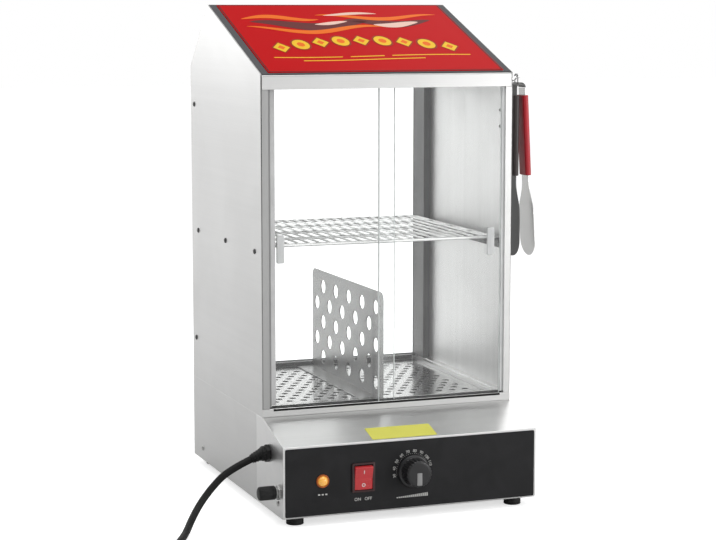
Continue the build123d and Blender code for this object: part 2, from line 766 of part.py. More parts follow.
inner_ridge = roof_ridge(sheet)
with BuildPart() as roof_panel:
    with BuildSketch(Plane.YZ.offset(-inside)):
        with BuildLine():
            Polyline(
                (case_y, eave_z - roof_front_lip),
                (case_y, eave_z),
                (ridge_y, ridge_z),
                (rear_y, rear_z),
                (rear_y, rear_z - roof_rear_lip),
                (rear_y - sheet, rear_z - roof_rear_lip),
                (rear_y - sheet, roof_height(rear_y - sheet, sheet)),
                inner_ridge,
                (case_y + sheet, roof_height(case_y + sheet, sheet)),
                (case_y + sheet, eave_z - roof_front_lip),
                close=True,
            )
        make_face()
    extrude(amount=2 * inside)
write_piece(roof_panel, "roof_panel")

slope_length = math.hypot(ridge_setback, ridge_rise)
slope = Plane(
    origin=(0, case_y, eave_z), x_dir=(1, 0, 0), z_dir=(0, -math.sin(front_slope), math.cos(front_slope))
)
with BuildPart() as sign_panel:
    with BuildSketch(slope):
        with Locations((0, slope_length / 2)):
            RectangleRounded(case_width - 2 * sign_border, slope_length - 2 * sign_end_border, 2)
    extrude(amount=sign_thickness)
write_piece(sign_panel, "sign_panel")

frame_rear = rear_y - sheet - seam
frame_top = rear_z - 3.0
frame_bottom = deck_top
post_inner = inside - post_width
rebate = glass + 2 * seal
pane_half = post_inner + glass_bite
pane_bottom = frame_bottom + rear_sill + seal
pane_top = frame_top - rear_top_rail + glass_bite
with BuildPart() as rear_frame:
    for side in (-1, 1):
        bottom = frame_bottom + sheet + seam
        post_ys = (frame_rear - post_depth, frame_rear)
        span_box((side * inside, side * post_inner), post_ys, (bottom, frame_top))
        span_box(
            (side * (inside - post_wall), side * (post_inner + post_wall)),
            (frame_rear - post_depth + post_wall, frame_rear - rebate - post_wall),
            (bottom - 1, frame_top + 1),
            Mode.SUBTRACT,
        )
        for y, z in side_screws[:3]:
            screw_hole(side, y, z)
    rail_ys = (frame_rear - rail_depth, frame_rear)
    span_box((-post_inner, post_inner), rail_ys, (frame_top - rear_top_rail, frame_top))
    span_box((-post_inner, post_inner), rail_ys, (frame_bottom, frame_bottom + rear_sill))
    lap_half = opening_half - 1.0
    lap_ys = (opening_rear - 0.1 - sill_lip, opening_rear - 0.1)
    span_box((-lap_half, lap_half), lap_ys, (floor_top + 0.2, frame_bottom + rear_sill))
    span_box((-lap_half, lap_half), (lap_ys[0], rail_ys[0]), (frame_bottom, frame_bottom + rear_sill))
    span_box(
        (-pane_half - seal, pane_half + seal), (frame_rear - rebate, frame_rear + 1),
        (pane_bottom - seal, pane_top + seal), Mode.SUBTRACT,
    )
write_piece(rear_frame, "rear_frame")

pane_ys = (frame_rear - rebate + seal, frame_rear - seal)
with BuildPart() as rear_glass:
    span_box((-pane_half, pane_half), pane_ys, (pane_bottom, pane_top))
    chamfer(rear_glass.edges().filter_by(Axis.Y, reverse=True), 0.4)
write_piece(rear_glass, "rear_glass")

with BuildPart() as rear_glass_seal:
    span_box(
        (-pane_half - seal, pane_half + seal), (frame_rear - rebate, frame_rear),
        (pane_bottom - seal, pane_top + seal),
    )
    view = glass_bite - 0.5
    seal_ys = (frame_rear - rebate - 1, frame_rear + 1)
    seal_zs = (pane_bottom, pane_top - view)
    span_box((-pane_half + view, pane_half - view), seal_ys, seal_zs, Mode.SUBTRACT)
    span_box((-pane_half, pane_half), pane_ys, (pane_bottom, pane_top), Mode.SUBTRACT)
write_piece(rear_glass_seal, "rear_glass_seal")

# ---------------------------------------------------------------- sliding doors
track_z = ledge_z + sheet
groove_starts = (track_y + track_wall, track_y + track_wall + groove + track_middle_wall)
with BuildPart() as bottom_track:
    span_box((-inside, inside), (track_y, track_y + track_width), (track_z, deck_top - seam))
    for y in groove_starts:
        span_box((-inside - 1, inside + 1), (y, y + groove), (track_z + track_base, deck_top), Mode.SUBTRACT)
write_piece(bottom_track, "bottom_track")

top_track_z = eave_z - 15.5
with BuildPart() as top_track:
    top_zs = (top_track_z, top_track_z + top_track_depth)
    span_box((-inside, inside), (track_y, track_y + track_width), top_zs)
    for y in groove_starts:
        zs = (top_track_z - 1, top_track_z + top_track_depth - track_base)
        span_box((-inside - 1, inside + 1), (y, y + groove), zs, Mode.SUBTRACT)
write_piece(top_track, "top_track")

door_bottom = track_z + track_base + door_lift
door_top = top_track_z + top_track_depth - track_base - door_head_room
door_outer = door_width - door_overlap / 2
pull_z = deck_top + pull_rise


def make_door(side, pane_y, name):
    """One glass door with ground edges; side -1 closes the left half."""
    with BuildPart() as door:
        pane_ys = (pane_y - glass / 2, pane_y + glass / 2)
        span_box((side * -door_overlap / 2, side * door_outer), pane_ys, (door_bottom, door_top))
        chamfer(door.edges().filter_by(Axis.Z), 0.5)
    write_piece(door, f"{name}_glass")
    with BuildPart() as pull:
        middle = side * (door_outer - pull_inset - pull_width / 2)
        with BuildSketch(facing_front(middle, pane_y - glass / 2, pull_z + pull_height / 2)):
            RectangleRounded(pull_width, pull_height, 2)
        extrude(amount=pull_thickness)
        fillet(pull.faces().sort_by(Axis.Y)[0].edges(), 0.8)
    write_piece(pull, f"{name}_pull")


make_door(-1, inner_pane_y, "left_door")
make_door(1, outer_pane_y, "right_door")

with BuildPart() as door_buffers:
    for side in (-1, 1):
        xs = (side * inside, side * (door_outer + seam))
        depth = left_buffer_depth if side < 0 else right_buffer_depth
        ys = (track_y + track_wall, track_y + track_wall + depth)
        zs = (deck_top + sheet + seam, top_track_z - seam)
        span_box(xs, ys, zs)
        hollow_xs = (side * (inside - buffer_wall), side * (door_outer + seam + buffer_wall))
        hollow_ys = (ys[0] + buffer_wall, ys[1] - buffer_wall)
        span_box(hollow_xs, hollow_ys, (zs[0] - 1, zs[1] + 1), Mode.SUBTRACT)
write_piece(door_buffers, "door_buffers")

# ---------------------------------------------------------------- shelf, floor and divider
with BuildPart() as shelf_rails:
    for side in (-1, 1):
        ys = (case_y + shelf_front_gap, rail_rear)
        span_box((side * inside, side * (inside - rail_thickness)), ys, (shelf_z - rail_leg, shelf_z))
        span_box((side * inside, side * (inside - rail_shelf_leg)), ys, (shelf_z - rail_thickness, shelf_z))
        for y, z in side_screws[3:]:
            screw_hole(side, y, z)
write_piece(shelf_rails, "shelf_rails")

rod_radius = shelf_frame_rod / 2
shelf_front = case_y + shelf_front_gap
shelf_rear = shelf_front + shelf_depth
shelf_centre = (shelf_front + shelf_rear) / 2
rod_half = shelf_half_width - rod_radius
rod_span = shelf_depth / 2 - rod_radius
shelf_rod_z = shelf_z + seam / 3 + rod_radius
wire_z = shelf_rod_z + rod_radius - 0.3
with BuildPart() as wire_shelf:
    with BuildLine(Plane.XY.offset(shelf_rod_z)) as shelf_loop:
        left, right = -rod_half, rod_half
        low, high = shelf_centre - rod_span, shelf_centre + rod_span
        corner = 12.0
        Line((left + corner, low), (right - corner, low))
        RadiusArc((right - corner, low), (right, low + corner), -corner)
        Line((right, low + corner), (right, high - corner))
        RadiusArc((right, high - corner), (right - corner, high), -corner)
        Line((right - corner, high), (left + corner, high))
        RadiusArc((left + corner, high), (left, high - corner), -corner)
        Line((left, high - corner), (left, low + corner))
        RadiusArc((left, low + corner), (left + corner, low), -corner)
    with BuildSketch(Plane(origin=(left + corner, low, shelf_rod_z), z_dir=(1, 0, 0))):
        Circle(rod_radius)
    sweep(path=shelf_loop.wire())
    wire_pitch = 2 * rod_half / (shelf_wires + 1)
    for i in range(shelf_wires):
        x = -rod_half + (i + 1) * wire_pitch
        rod((x, low, wire_z), (0, 1, 0), shelf_wire / 2, 2 * rod_span)
    rib_pitch = 2 * rod_span / (shelf_ribs + 1)
    for i in range(shelf_ribs):
        y = low + (i + 1) * rib_pitch
        rod((-rod_half, y, shelf_rod_z), (1, 0, 0), shelf_wire / 2 + 0.5, 2 * rod_half)
write_piece(wire_shelf, "wire_shelf")

floor_half = opening_half - floor_play
floor_length = opening_rear - sill_lip - opening_front - 2 * floor_play
floor_centre = (opening_front + opening_rear - sill_lip) / 2
row_pitch = floor_pitch * math.sqrt(3)
columns = int((2 * floor_half - 2 * floor_margin) / floor_pitch)
rows = int((floor_length - 2 * floor_margin) / row_pitch)
with BuildPart() as perforated_floor:
    with BuildSketch(Plane.XY.offset(floor_bottom)):
        with Locations((0, floor_centre)):
            Rectangle(2 * floor_half, floor_length)
        with Locations((0, floor_centre)):
            with GridLocations(floor_pitch, row_pitch, columns, rows):
                Circle(floor_hole / 2, mode=Mode.SUBTRACT)
            with GridLocations(floor_pitch, row_pitch, columns - 1, rows - 1):
                Circle(floor_hole / 2, mode=Mode.SUBTRACT)
    extrude(amount=floor_thickness)
write_piece(perforated_floor, "perforated_floor")

divider_bottom = floor_top + 0.1
divider_front = opening_front + floor_play + 1.5
divider_length = floor_length - 3.0
with BuildPart() as hot_dog_divider:
    with BuildSketch(Plane.YZ.offset(-divider_thickness / 2)):
        with Locations((divider_front + divider_length / 2, divider_bottom + divider_height / 2)):
            Rectangle(divider_length, divider_height)
        for row in range(divider_rows):
            for column in range(divider_columns):
                hole_y = divider_front + divider_first_hole + (column + 0.5 * (row % 2)) * divider_pitch
                hole_z = divider_bottom + divider_height - divider_top_margin - row * divider_row
                with Locations((hole_y, hole_z)):
                    Circle(divider_hole / 2, mode=Mode.SUBTRACT)
    extrude(amount=divider_thickness)
    top_corners = hot_dog_divider.edges().filter_by(Axis.X).group_by(Axis.Z)[-1]
    fillet(top_corners, divider_corner)
    chamfer(hot_dog_divider.edges().filter_by(Axis.X).group_by(Axis.Z)[0], divider_cut)
    span_box(
        (divider_thickness / 2, -divider_foot),
        (divider_front + divider_cut, divider_front + divider_length - divider_cut),
        (divider_bottom, divider_bottom + divider_thickness),
    )
write_piece(hot_dog_divider, "hot_dog_divider")

# ---------------------------------------------------------------- tongs and their hook
wall_gap = 13.5  # between the side panel and the inner arm
inner_arm_x = half + wall_gap
bow_x = inner_arm_x + bow_radius
bow_z = eave_z - 19.0
grip_top = bow_z - 9.0
hook_rise = 25.0  # degrees that the peg climbs away from the wall
peg_radius = 2.0
peg_length = 22.0
rise = math.radians(hook_rise)
loop_x = bow_x - 2.0
loop_low = bow_z + 2.2
loop_high = loop_low + loop_height
peg_z = loop_high - loop_wire - 0.1 - peg_radius / math.cos(rise) - loop_wire * math.tan(rise)
peg_start = (half + 1.6, hook_y, peg_z - (loop_x - half - 1.6) * math.tan(rise))

with BuildPart() as tongs_hook:
    span_box((half + 0.1, half + 1.6), (hook_y - 7, hook_y + 7), (hook_screws_z[0] - 9, peg_start[2] + 6))
    rod(peg_start, (math.cos(rise), 0, math.sin(rise)), peg_radius, peg_length)
    fillet(tongs_hook.faces().sort_by(Axis.X)[-1].edges(), 0.8)
    for z in hook_screws_z:
        rod((half - 1, hook_y, z), (1, 0, 0), screw_shank + screw_clear, 4, Mode.SUBTRACT)
write_piece(tongs_hook, "tongs_hook")

waist_z = grip_top - grip_length - 6.0
loop_half = loop_width / 2 - loop_wire


def draw_arm(top, reach):
    """Half outline of a flat arm down from its top: straight to the waist, then a rounded paddle."""
    wide, narrow = paddle_width / 2, arm_width / 2
    waist, low = reach - (bow_z - waist_z), reach - tongs_length
    round_z = low + wide
    broad_z = low + paddle_length
    Line((0, top), (narrow, top))
    Line((narrow, top), (narrow, waist))
    Spline((narrow, waist), (wide, broad_z), tangents=[(0, -1), (0, -1)])
    Line((wide, broad_z), (wide, round_z))
    RadiusArc((wide, round_z), (0, low), wide)
    Line((0, low), (0, top))


arm_plane = Plane(origin=(inner_arm_x - arm_thickness / 2, hook_y, 0), x_dir=(0, 1, 0), z_dir=(1, 0, 0))
with BuildPart() as tongs_inner_arm:
    with BuildSketch(arm_plane):
        with BuildLine():
            draw_arm(bow_z, bow_z)
        make_face()
        mirror(about=Plane.YZ)
    extrude(amount=arm_thickness)
    with BuildSketch(Plane(origin=(0, hook_y - arm_width / 2, 0), x_dir=(1, 0, 0), z_dir=(0, -1, 0))):
        with Locations((bow_x, bow_z)):
            Circle(bow_radius + arm_thickness / 2)
            Circle(bow_radius - arm_thickness / 2, mode=Mode.SUBTRACT)
        with Locations((bow_x, bow_z - bow_radius)):
            Rectangle(4 * bow_radius, 2 * bow_radius, mode=Mode.SUBTRACT)
    extrude(amount=-arm_width)
    for side in (-1, 1):
        hole_start = (loop_x, hook_y + side * loop_half, bow_z + 1)
        rod(hole_start, (0, 0, 1), loop_wire + 0.2, 2 * bow_radius, Mode.SUBTRACT)
write_piece(tongs_inner_arm, "tongs_inner_arm")

with BuildPart() as tongs_loop:
    with BuildLine(Plane(origin=(loop_x, hook_y, 0), x_dir=(0, 1, 0), z_dir=(1, 0, 0))) as loop_line:
        loop_bend = 2.5
        Line((-loop_half + loop_bend, loop_low), (loop_half - loop_bend, loop_low))
        RadiusArc((loop_half - loop_bend, loop_low), (loop_half, loop_low + loop_bend), -loop_bend)
        Line((loop_half, loop_low + loop_bend), (loop_half, loop_high - loop_bend))
        RadiusArc((loop_half, loop_high - loop_bend), (loop_half - loop_bend, loop_high), -loop_bend)
        Line((loop_half - loop_bend, loop_high), (-loop_half + loop_bend, loop_high))
        RadiusArc((-loop_half + loop_bend, loop_high), (-loop_half, loop_high - loop_bend), -loop_bend)
        Line((-loop_half, loop_high - loop_bend), (-loop_half, loop_low + loop_bend))
        RadiusArc((-loop_half, loop_low + loop_bend), (-loop_half + loop_bend, loop_low), -loop_bend)
    with BuildSketch(Plane(origin=(loop_x, hook_y - loop_half + loop_bend, loop_low), z_dir=(0, 1, 0))):
        Circle(loop_wire)
    sweep(path=loop_line.wire())
write_piece(tongs_loop, "tongs_loop")

hinge_gap = 0.05
with BuildPart() as tongs_outer_arm:
    splay = math.radians(arm_splay)
    hinge = (bow_x + bow_radius, hook_y, bow_z - arm_thickness / 2 - hinge_gap)
    tilted = Plane(
        origin=(hinge[0] - arm_thickness / 2 * math.cos(splay), hook_y, bow_z - arm_thickness / 2),
        x_dir=(0, 1, 0), z_dir=(math.cos(splay), 0, math.sin(splay)),
    )
    with BuildSketch(tilted):
        with BuildLine():
            draw_arm(-hinge_gap, 0)
        make_face()
        mirror(about=Plane.YZ)
    extrude(amount=arm_thickness)
write_piece(tongs_outer_arm, "tongs_outer_arm")


def make_grip(middle, lean, name):
    """A moulded sleeve over one arm; middle is where its upper end crosses the arm's centre line."""
    down = Plane(origin=middle, x_dir=(0, 1, 0), z_dir=(math.sin(lean), 0, -math.cos(lean)))
    with BuildPart() as grip:
        with BuildSketch(down):
            RectangleRounded(arm_width + 4, grip_thickness, grip_thickness / 2 - 0.4)
        extrude(amount=grip_length)
        fillet(grip.faces().sort_by(Axis.Z)[-1].edges(), 1.0)
        fillet(grip.faces().sort_by(Axis.Z)[0].edges(), 1.0)
        with BuildSketch(down.offset(-1)):
            Rectangle(arm_width + 0.1, arm_thickness + 0.1)
        extrude(amount=grip_length + 2, mode=Mode.SUBTRACT)
    write_piece(grip, name)


make_grip((inner_arm_x, hook_y, grip_top), 0.0, "tongs_inner_grip")
lean = math.radians(arm_splay)
drop = bow_z - grip_top
make_grip((hinge[0] + drop * math.tan(lean), hook_y, grip_top), lean, "tongs_outer_grip")

# ---------------------------------------------------------------- screws
with BuildPart() as cabinet_screws:
    for side in (-1, 1):
        for y, z in side_screws:
            rod((side * (half + 0.05), y, z), (side, 0, 0), screw_head, 1.8)
            rod((side * (half + 0.05), y, z), (-side, 0, 0), screw_shank, 6)
    heads = cabinet_screws.faces().filter_by(Axis.X).sort_by(Axis.X)
    outer = heads[: len(side_screws)] + heads[-len(side_screws):]
    fillet([edge for face in outer for edge in face.edges()], 0.9)
write_piece(cabinet_screws, "cabinet_screws")

with BuildPart() as housing_screws:
    for side in (-1, 1):
        for y in screw_rows:
            rod((side * (half + 0.05), y, screw_z), (side, 0, 0), screw_head, 1.8)
            rod((side * (half + 0.05), y, screw_z), (-side, 0, 0), screw_shank, 5)
write_piece(housing_screws, "housing_screws")

with BuildPart() as hook_fixings:
    for z in hook_screws_z:
        rod((half + 1.65, hook_y, z), (1, 0, 0), screw_head, 1.8)
        rod((half + 1.65, hook_y, z), (-1, 0, 0), screw_shank, 6.5)
        with BuildSketch(Plane(origin=(half - sheet, hook_y, z), z_dir=(-1, 0, 0))):
            RegularPolygon(3.0, 6)
        extrude(amount=2.4)
write_piece(hook_fixings, "hook_fixings")

ledge_normal = (0, -math.sin(ledge_slope), math.cos(ledge_slope))
ledge_plane = Plane(origin=(0, front_y, control_top), x_dir=(1, 0, 0), z_dir=ledge_normal)
with BuildPart() as ledge_label:
    with BuildSketch(ledge_plane):
        with Locations((-7.5, 3 + label_length / 2)):
            RectangleRounded(label_width, label_length, 1.5)
    extrude(amount=0.25)
write_piece(ledge_label, "ledge_label")

# ---------------------------------------------------------------- mains lead
droop = math.radians(gland_droop)
tail_axis = (-math.cos(droop), 0, -math.sin(droop))
tail_root = (-half - 7.5, gland_y, gland_z)
tail_length = 14.0
cord_start = tuple(root + tail_length * part for root, part in zip(tail_root, tail_axis))

with BuildPart() as cable_gland:
    with BuildSketch(Plane(origin=(-half, gland_y, gland_z), z_dir=(-1, 0, 0))):
        RegularPolygon(gland_radius, 6)
    extrude(amount=5)
    with BuildSketch(Plane(origin=(-half - 5, gland_y, gland_z), z_dir=(-1, 0, 0))):
        Circle(gland_radius - 1.5)
    extrude(amount=4)
    rod((-half, gland_y, gland_z), (1, 0, 0), gland_radius * 0.6, 9)
    tail = Plane(origin=tail_root, z_dir=tail_axis)
    with BuildSketch(tail.offset(-3)):
        Circle(gland_radius - 2.5)
    with BuildSketch(tail.offset(tail_length)):
        Circle(cord_radius + 1.3)
    loft()
    with BuildSketch(Plane(origin=(-half + sheet, gland_y, gland_z), z_dir=(1, 0, 0))):
        RegularPolygon(gland_radius - 0.5, 6)
    extrude(amount=4)
write_piece(cable_gland, "cable_gland")

turn_gap = 0.9
layer_gap = 0.7
tie_thickness = 0.8
turn_pitch = 2 * cord_radius + turn_gap
layer_step = 2 * cord_radius + layer_gap
coil_low_z = cord_radius + tie_thickness + 0.2
coil_high_z = coil_low_z + layer_step
coil_outer = 52.9
coil_centre = (-256.6, -321.25)
coil_tail = 36.0
first_run = 29.0
coil_start = (coil_centre[0] - coil_outer, coil_centre[1], coil_low_z)

cord_points = [
    cord_start,
    tuple(start + first_run * part for start, part in zip(cord_start, tail_axis)),
    (-219.0, -130.5, 42.6),
    (-236.0, -138.0, 26.0),
    (-250.0, -153.0, 12.5),
    (-262.0, -176.0, 6.0),
    (-275.0, -202.0, coil_low_z),
    (-290.0, -229.0, coil_low_z),
    (-302.0, -257.0, coil_low_z),
    (coil_start[0], coil_start[1] + 2 * cord_radius + 27.0, coil_low_z),
    (coil_start[0], coil_start[1] + 2 * cord_radius, coil_low_z),
]


def corner_radii(points):
    """For each corner of a route, 0.45 of its shorter run over the tangent of half its turn."""
    radii = []
    for before, corner, after in zip(points, points[1:], points[2:]):
        arriving = Vector(*corner) - Vector(*before)
        leaving = Vector(*after) - Vector(*corner)
        turn = math.radians(arriving.get_angle(leaving))
        radii.append(0.45 * min(arriving.length, leaving.length) / math.tan(turn / 2))
    return radii


cord_radii = corner_radii(cord_points)
print("cord corner radii", [round(radius, 1) for radius in cord_radii])
with BuildPart() as power_cord:
    with BuildLine() as cord_line:
        FilletPolyline(*cord_points, radius=cord_radii)
    with BuildSketch(Plane(origin=cord_start, z_dir=tail_axis)):
        Circle(cord_radius)
    sweep(path=cord_line.wire())
cord_length = cord_line.wire().length
section = math.pi * cord_radius**2
print("cord length", round(cord_length, 1))
print("cord volume share", round(power_cord.part.volume / (section * cord_length), 5))
write_piece(power_cord, "power_cord")

# The coil turns to the left: half turns inward on the floor, one that climbs, then outward on top.
half_radii = [coil_outer - step * turn_pitch / 2 for step in range(4)]
climb_radius = half_radii[-1] - turn_pitch / 2
half_turns = [(radius, coil_low_z, coil_low_z) for radius in half_radii]
half_turns += [(climb_radius, coil_low_z, coil_high_z)]
half_turns += [(radius, coil_high_z, coil_high_z) for radius in reversed(half_radii[1:])]
with BuildPart() as cord_coil:
    with BuildLine() as coil_line:
        place = Vector(*coil_start)
        heading = Vector(0, -1, 0)
        lead_in = place - heading * 2 * cord_radius
        Line(lead_in, place)
        for radius, low_z, high_z in half_turns:
            outward = heading.cross(Vector(0, 0, 1))
            end = place - outward * 2 * radius + Vector(0, 0, high_z - low_z)
            reach = (end - place).length / 2
            middle = (place + end) / 2 + heading * reach
            first = TangentArc(place, middle, tangent=heading)
            TangentArc(middle, end, tangent=first % 1)
            place, heading = end, heading * -1
        outward = heading.cross(Vector(0, 0, 1))
        middle = place - outward * coil_outer + heading * coil_outer
        TangentArc(place, middle, tangent=heading)
        coil_end = middle - outward * coil_tail
        Line(middle, coil_end)
    with BuildSketch(Plane(origin=lead_in, z_dir=(0, -1, 0))):
        Circle(cord_radius)
    sweep(path=coil_line.wire())
coil_wire = coil_line.wire()
coil_length = coil_wire.length
samples = 400
marks = [coil_wire @ (i / samples) for i in range(samples + 1)]
apart = int(2.5 * climb_radius * samples / coil_length)
least = min(
    (marks[i] - marks[j]).length for i in range(samples + 1) for j in range(i + apart, samples + 1)
)
print("coil length", round(coil_length, 1), "least gap to itself", round(least - 2 * cord_radius, 2))
print("coil volume share", round(cord_coil.part.volume / (section * coil_length), 5))
write_piece(cord_coil, "cord_coil")

tie_play = 0.25
tie_half = 4.0
inner_reach = math.sqrt(half_radii[3] ** 2 - (turn_pitch / 2 + tie_half) ** 2) - cord_radius
outer_reach = half_radii[1] + cord_radius
tie_ys = (coil_centre[1] + inner_reach - tie_play, coil_centre[1] + outer_reach + tie_play)
tie_zs = (coil_low_z - cord_radius - 0.2, coil_high_z + cord_radius + tie_play)
with BuildPart() as cord_tie:
    xs = (coil_centre[0] - tie_half, coil_centre[0] + tie_half)
    outer_ys = (tie_ys[0] - tie_thickness, tie_ys[1] + tie_thickness)
    span_box(xs, outer_ys, (tie_zs[0] - tie_thickness, tie_zs[1] + tie_thickness))
    fillet(cord_tie.edges().filter_by(Axis.X), 1.5)
    span_box((xs[0] - 1, xs[1] + 1), tie_ys, tie_zs, Mode.SUBTRACT)
write_piece(cord_tie, "cord_tie")

plug_radius = coil_high_z - 0.1
relief_length = 18.0
plug_length = 34.0
with BuildPart() as mains_plug:
    plug_face = Plane(origin=coil_end, z_dir=(1, 0, 0))
    with BuildSketch(plug_face):
        Circle(cord_radius + 1.2)
    with BuildSketch(plug_face.offset(relief_length)):
        Circle(cord_radius + 3.0)
    loft()
    with BuildSketch(plug_face.offset(relief_length)):
        Circle(plug_radius - 2.5)
    with BuildSketch(plug_face.offset(relief_length + 12)):
        Circle(plug_radius)
    loft()
    with BuildSketch(plug_face.offset(relief_length + 12)):
        Circle(plug_radius)
    extrude(amount=plug_length - 12)
    fillet(mains_plug.faces().sort_by(Axis.X)[-1].edges(), 1.5)
write_piece(mains_plug, "mains_plug")

with BuildPart() as plug_pins:
    pins = plug_face.offset(relief_length + plug_length)
    with BuildSketch(pins):
        with Locations((-6.35, 3.0), (6.35, 3.0)):
            Rectangle(1.5, 6.3)
    extrude(amount=17)
    with BuildSketch(pins):
        with Locations((0, -6.5)):
            Circle(2.4)
    extrude(amount=20)
write_piece(plug_pins, "plug_pins")
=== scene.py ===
import json
import math
from functools import wraps

import bmesh
import bpy
from bpy.props import FloatProperty, FloatVectorProperty, IntProperty, PointerProperty
from bpy.types import Operator, Panel, PropertyGroup
from mathutils import Matrix, Vector


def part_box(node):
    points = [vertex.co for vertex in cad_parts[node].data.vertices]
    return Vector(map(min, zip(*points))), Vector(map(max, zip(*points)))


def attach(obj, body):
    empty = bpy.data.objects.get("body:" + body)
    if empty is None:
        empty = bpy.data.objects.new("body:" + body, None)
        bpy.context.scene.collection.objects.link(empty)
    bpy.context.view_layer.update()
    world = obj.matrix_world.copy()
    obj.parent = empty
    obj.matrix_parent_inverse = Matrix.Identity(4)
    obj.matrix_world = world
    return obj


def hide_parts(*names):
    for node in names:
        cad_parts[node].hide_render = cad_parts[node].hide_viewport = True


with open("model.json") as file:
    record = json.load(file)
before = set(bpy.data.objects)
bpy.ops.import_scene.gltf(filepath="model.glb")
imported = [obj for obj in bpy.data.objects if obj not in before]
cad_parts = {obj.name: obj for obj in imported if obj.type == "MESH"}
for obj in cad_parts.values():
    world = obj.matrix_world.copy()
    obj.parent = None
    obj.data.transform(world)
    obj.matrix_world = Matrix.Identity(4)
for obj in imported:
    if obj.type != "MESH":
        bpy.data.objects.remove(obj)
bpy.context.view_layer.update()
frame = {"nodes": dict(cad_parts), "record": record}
BODY_OF = {node: body for body, nodes in frame["record"]["behaviour"]["bodies"].items() for node in nodes}

bl_info = {
    "name": "Hot Dog Steamer",
    "version": (1, 0, 0),
    "blender": (4, 5, 0),
    "location": "View3D > Sidebar > Steamer",
    "description": "Dresses the packed frame of a counter-top steamer with its steel, glass and controls",
    "category": "Object",
}

# Sizes are in metres, apart from the profiles that are turned, which are in mm.
MM = 0.001
WIDE_FACE = 4e-4  # square metres; a face wider than this is shaded flat
# The forms here are drawn about the middle of the case, which stands this far from the frame's origin.
CASE_MIDDLE = Vector((-0.0055, 0.0115, 0.0))
FRONT_Y = -0.17875  # front of the control box
CASE_Y = -0.10625  # front of the cabinet
REAR_Y = 0.17875
HALF = 0.1525  # half the width of the case
EAVE_Z = 0.495  # lower edge of the roof's front slope
ROOF_RUN, ROOF_RISE = 0.208, 0.077  # from the eave to the ridge
FOOT_INSET = 0.020  # from the outside of the case to the middle of a foot
GLAND = Vector((-HALF, -0.12825, 0.075))
GLAND_DROOP = math.radians(22.0)  # the gland's tail points this far below level
DRAIN = Vector((-HALF, -0.16425, 0.0385))


# ---------------------------------------------------------------- what a user may change
def length(name, description, default):
    """A length that a user may change."""
    return FloatProperty(
        name=name, description=description, default=default, subtype="DISTANCE", unit="LENGTH"
    )


def colour(name, description, default):
    """A colour that a user may change."""
    return FloatVectorProperty(
        name=name, description=description, default=default, size=3, min=0.0, max=1.0, subtype="COLOR"
    )


class SteamerSizes(PropertyGroup):
    """Sizes of the small forms that the frame leaves to this script."""

    fold_radius: length("Fold radius", "Outer radius of the folds of the steel sheets", 0.0025)
    sheet_edge: length("Sheet edge", "Rounding of cut sheet edges", 0.00022)
    print_height: length("Print height", "Thickness of the printed marks", 0.00008)
    tick_radius: length("Dial mark radius", "Radius of the ring of marks round the knob", 0.0222)
    cord_radius: length("Cord radius", "Half the thickness of the mains lead", 0.0041)
    flutes: IntProperty(name="Knob flutes", description="Grooves round the knob's grip", default=24, min=6)


class SteamerColours(PropertyGroup):
    """Colours of the finishes."""

    steel: colour("Steel", "Brushed sheet of the cabinet and the base", (0.60, 0.60, 0.595))
    sign_red: colour("Sign red", "Ground of the roof sign", (0.50, 0.002, 0.004))
    sign_yellow: colour("Sign yellow", "Yellow of the sign's pattern", (0.83, 0.52, 0.03))
    sign_orange: colour("Sign orange", "Orange of the sign's pattern", (0.80, 0.16, 0.015))
    sign_cream: colour("Sign cream", "Pale tone of the sign's pattern", (0.80, 0.55, 0.46))
    sign_brown: colour("Sign brown", "Dark tone of the sign's pattern", (0.13, 0.03, 0.03))
    panel_black: colour("Panel black", "Film of the control face", (0.010, 0.010, 0.011))
    print_grey: colour("Print grey", "Marks printed on the control face", (0.62, 0.62, 0.60))
    rocker_red: colour("Rocker red", "Button of the switch", (0.50, 0.03, 0.035))
    lamp_amber: colour("Lamp amber", "Dome of the pilot lamp", (0.85, 0.33, 0.03))
    label_yellow: colour("Label yellow", "Blank label on the ledge", (0.73, 0.71, 0.135))
    black_plastic: colour("Black plastic", "Knob, gland, cap, feet and lead", (0.006, 0.006, 0.006))
    grip_red: colour("Grip red", "Sleeves of the tongs", (0.42, 0.008, 0.018))
    # The rear frame's near-black colour is painted shade on the posts at the shaded back of the case.
    rear_frame_painted_shade: colour("Rear frame", "Dark posts of the rear wall", (0.055, 0.055, 0.056))


def sizes():
    return bpy.context.scene.steamer_sizes


def colours():
    return bpy.context.scene.steamer_colours


# ---------------------------------------------------------------- materials
def made_once(make):
    """Lets a material be made once and be found by its name after that."""

    @wraps(make)
    def find_or_make(name, *settings):
        return bpy.data.materials.get(name) or make(name, *settings)

    return find_or_make


def add_node(tree, kind, inputs=None, **settings):
    """A node with its settings and its inputs; an input is a value or another node's socket."""
    made = tree.nodes.new(kind)
    for name, value in settings.items():
        setattr(made, name, value)
    for name, value in (inputs or {}).items():
        if isinstance(value, bpy.types.NodeSocket):
            tree.links.new(value, made.inputs[name])
        else:
            made.inputs[name].default_value = value
    return made


def effect(name, inputs, outputs):
    """An empty shader node group with the named inputs and outputs."""
    group = bpy.data.node_groups.new(name, "ShaderNodeTree")
    for label, kind, default in inputs:
        socket = group.interface.new_socket(label, in_out="INPUT", socket_type=kind)
        if default is not None:
            socket.default_value = default
    for label, kind in outputs:
        group.interface.new_socket(label, in_out="OUTPUT", socket_type=kind)
    return group, group.nodes.new("NodeGroupInput"), group.nodes.new("NodeGroupOutput")


def maths(tree, operation, first, second):
    """The result of one sum; each side is a number or a socket."""
    return add_node(tree, "ShaderNodeMath", {0: first, 1: second}, operation=operation).outputs[0]


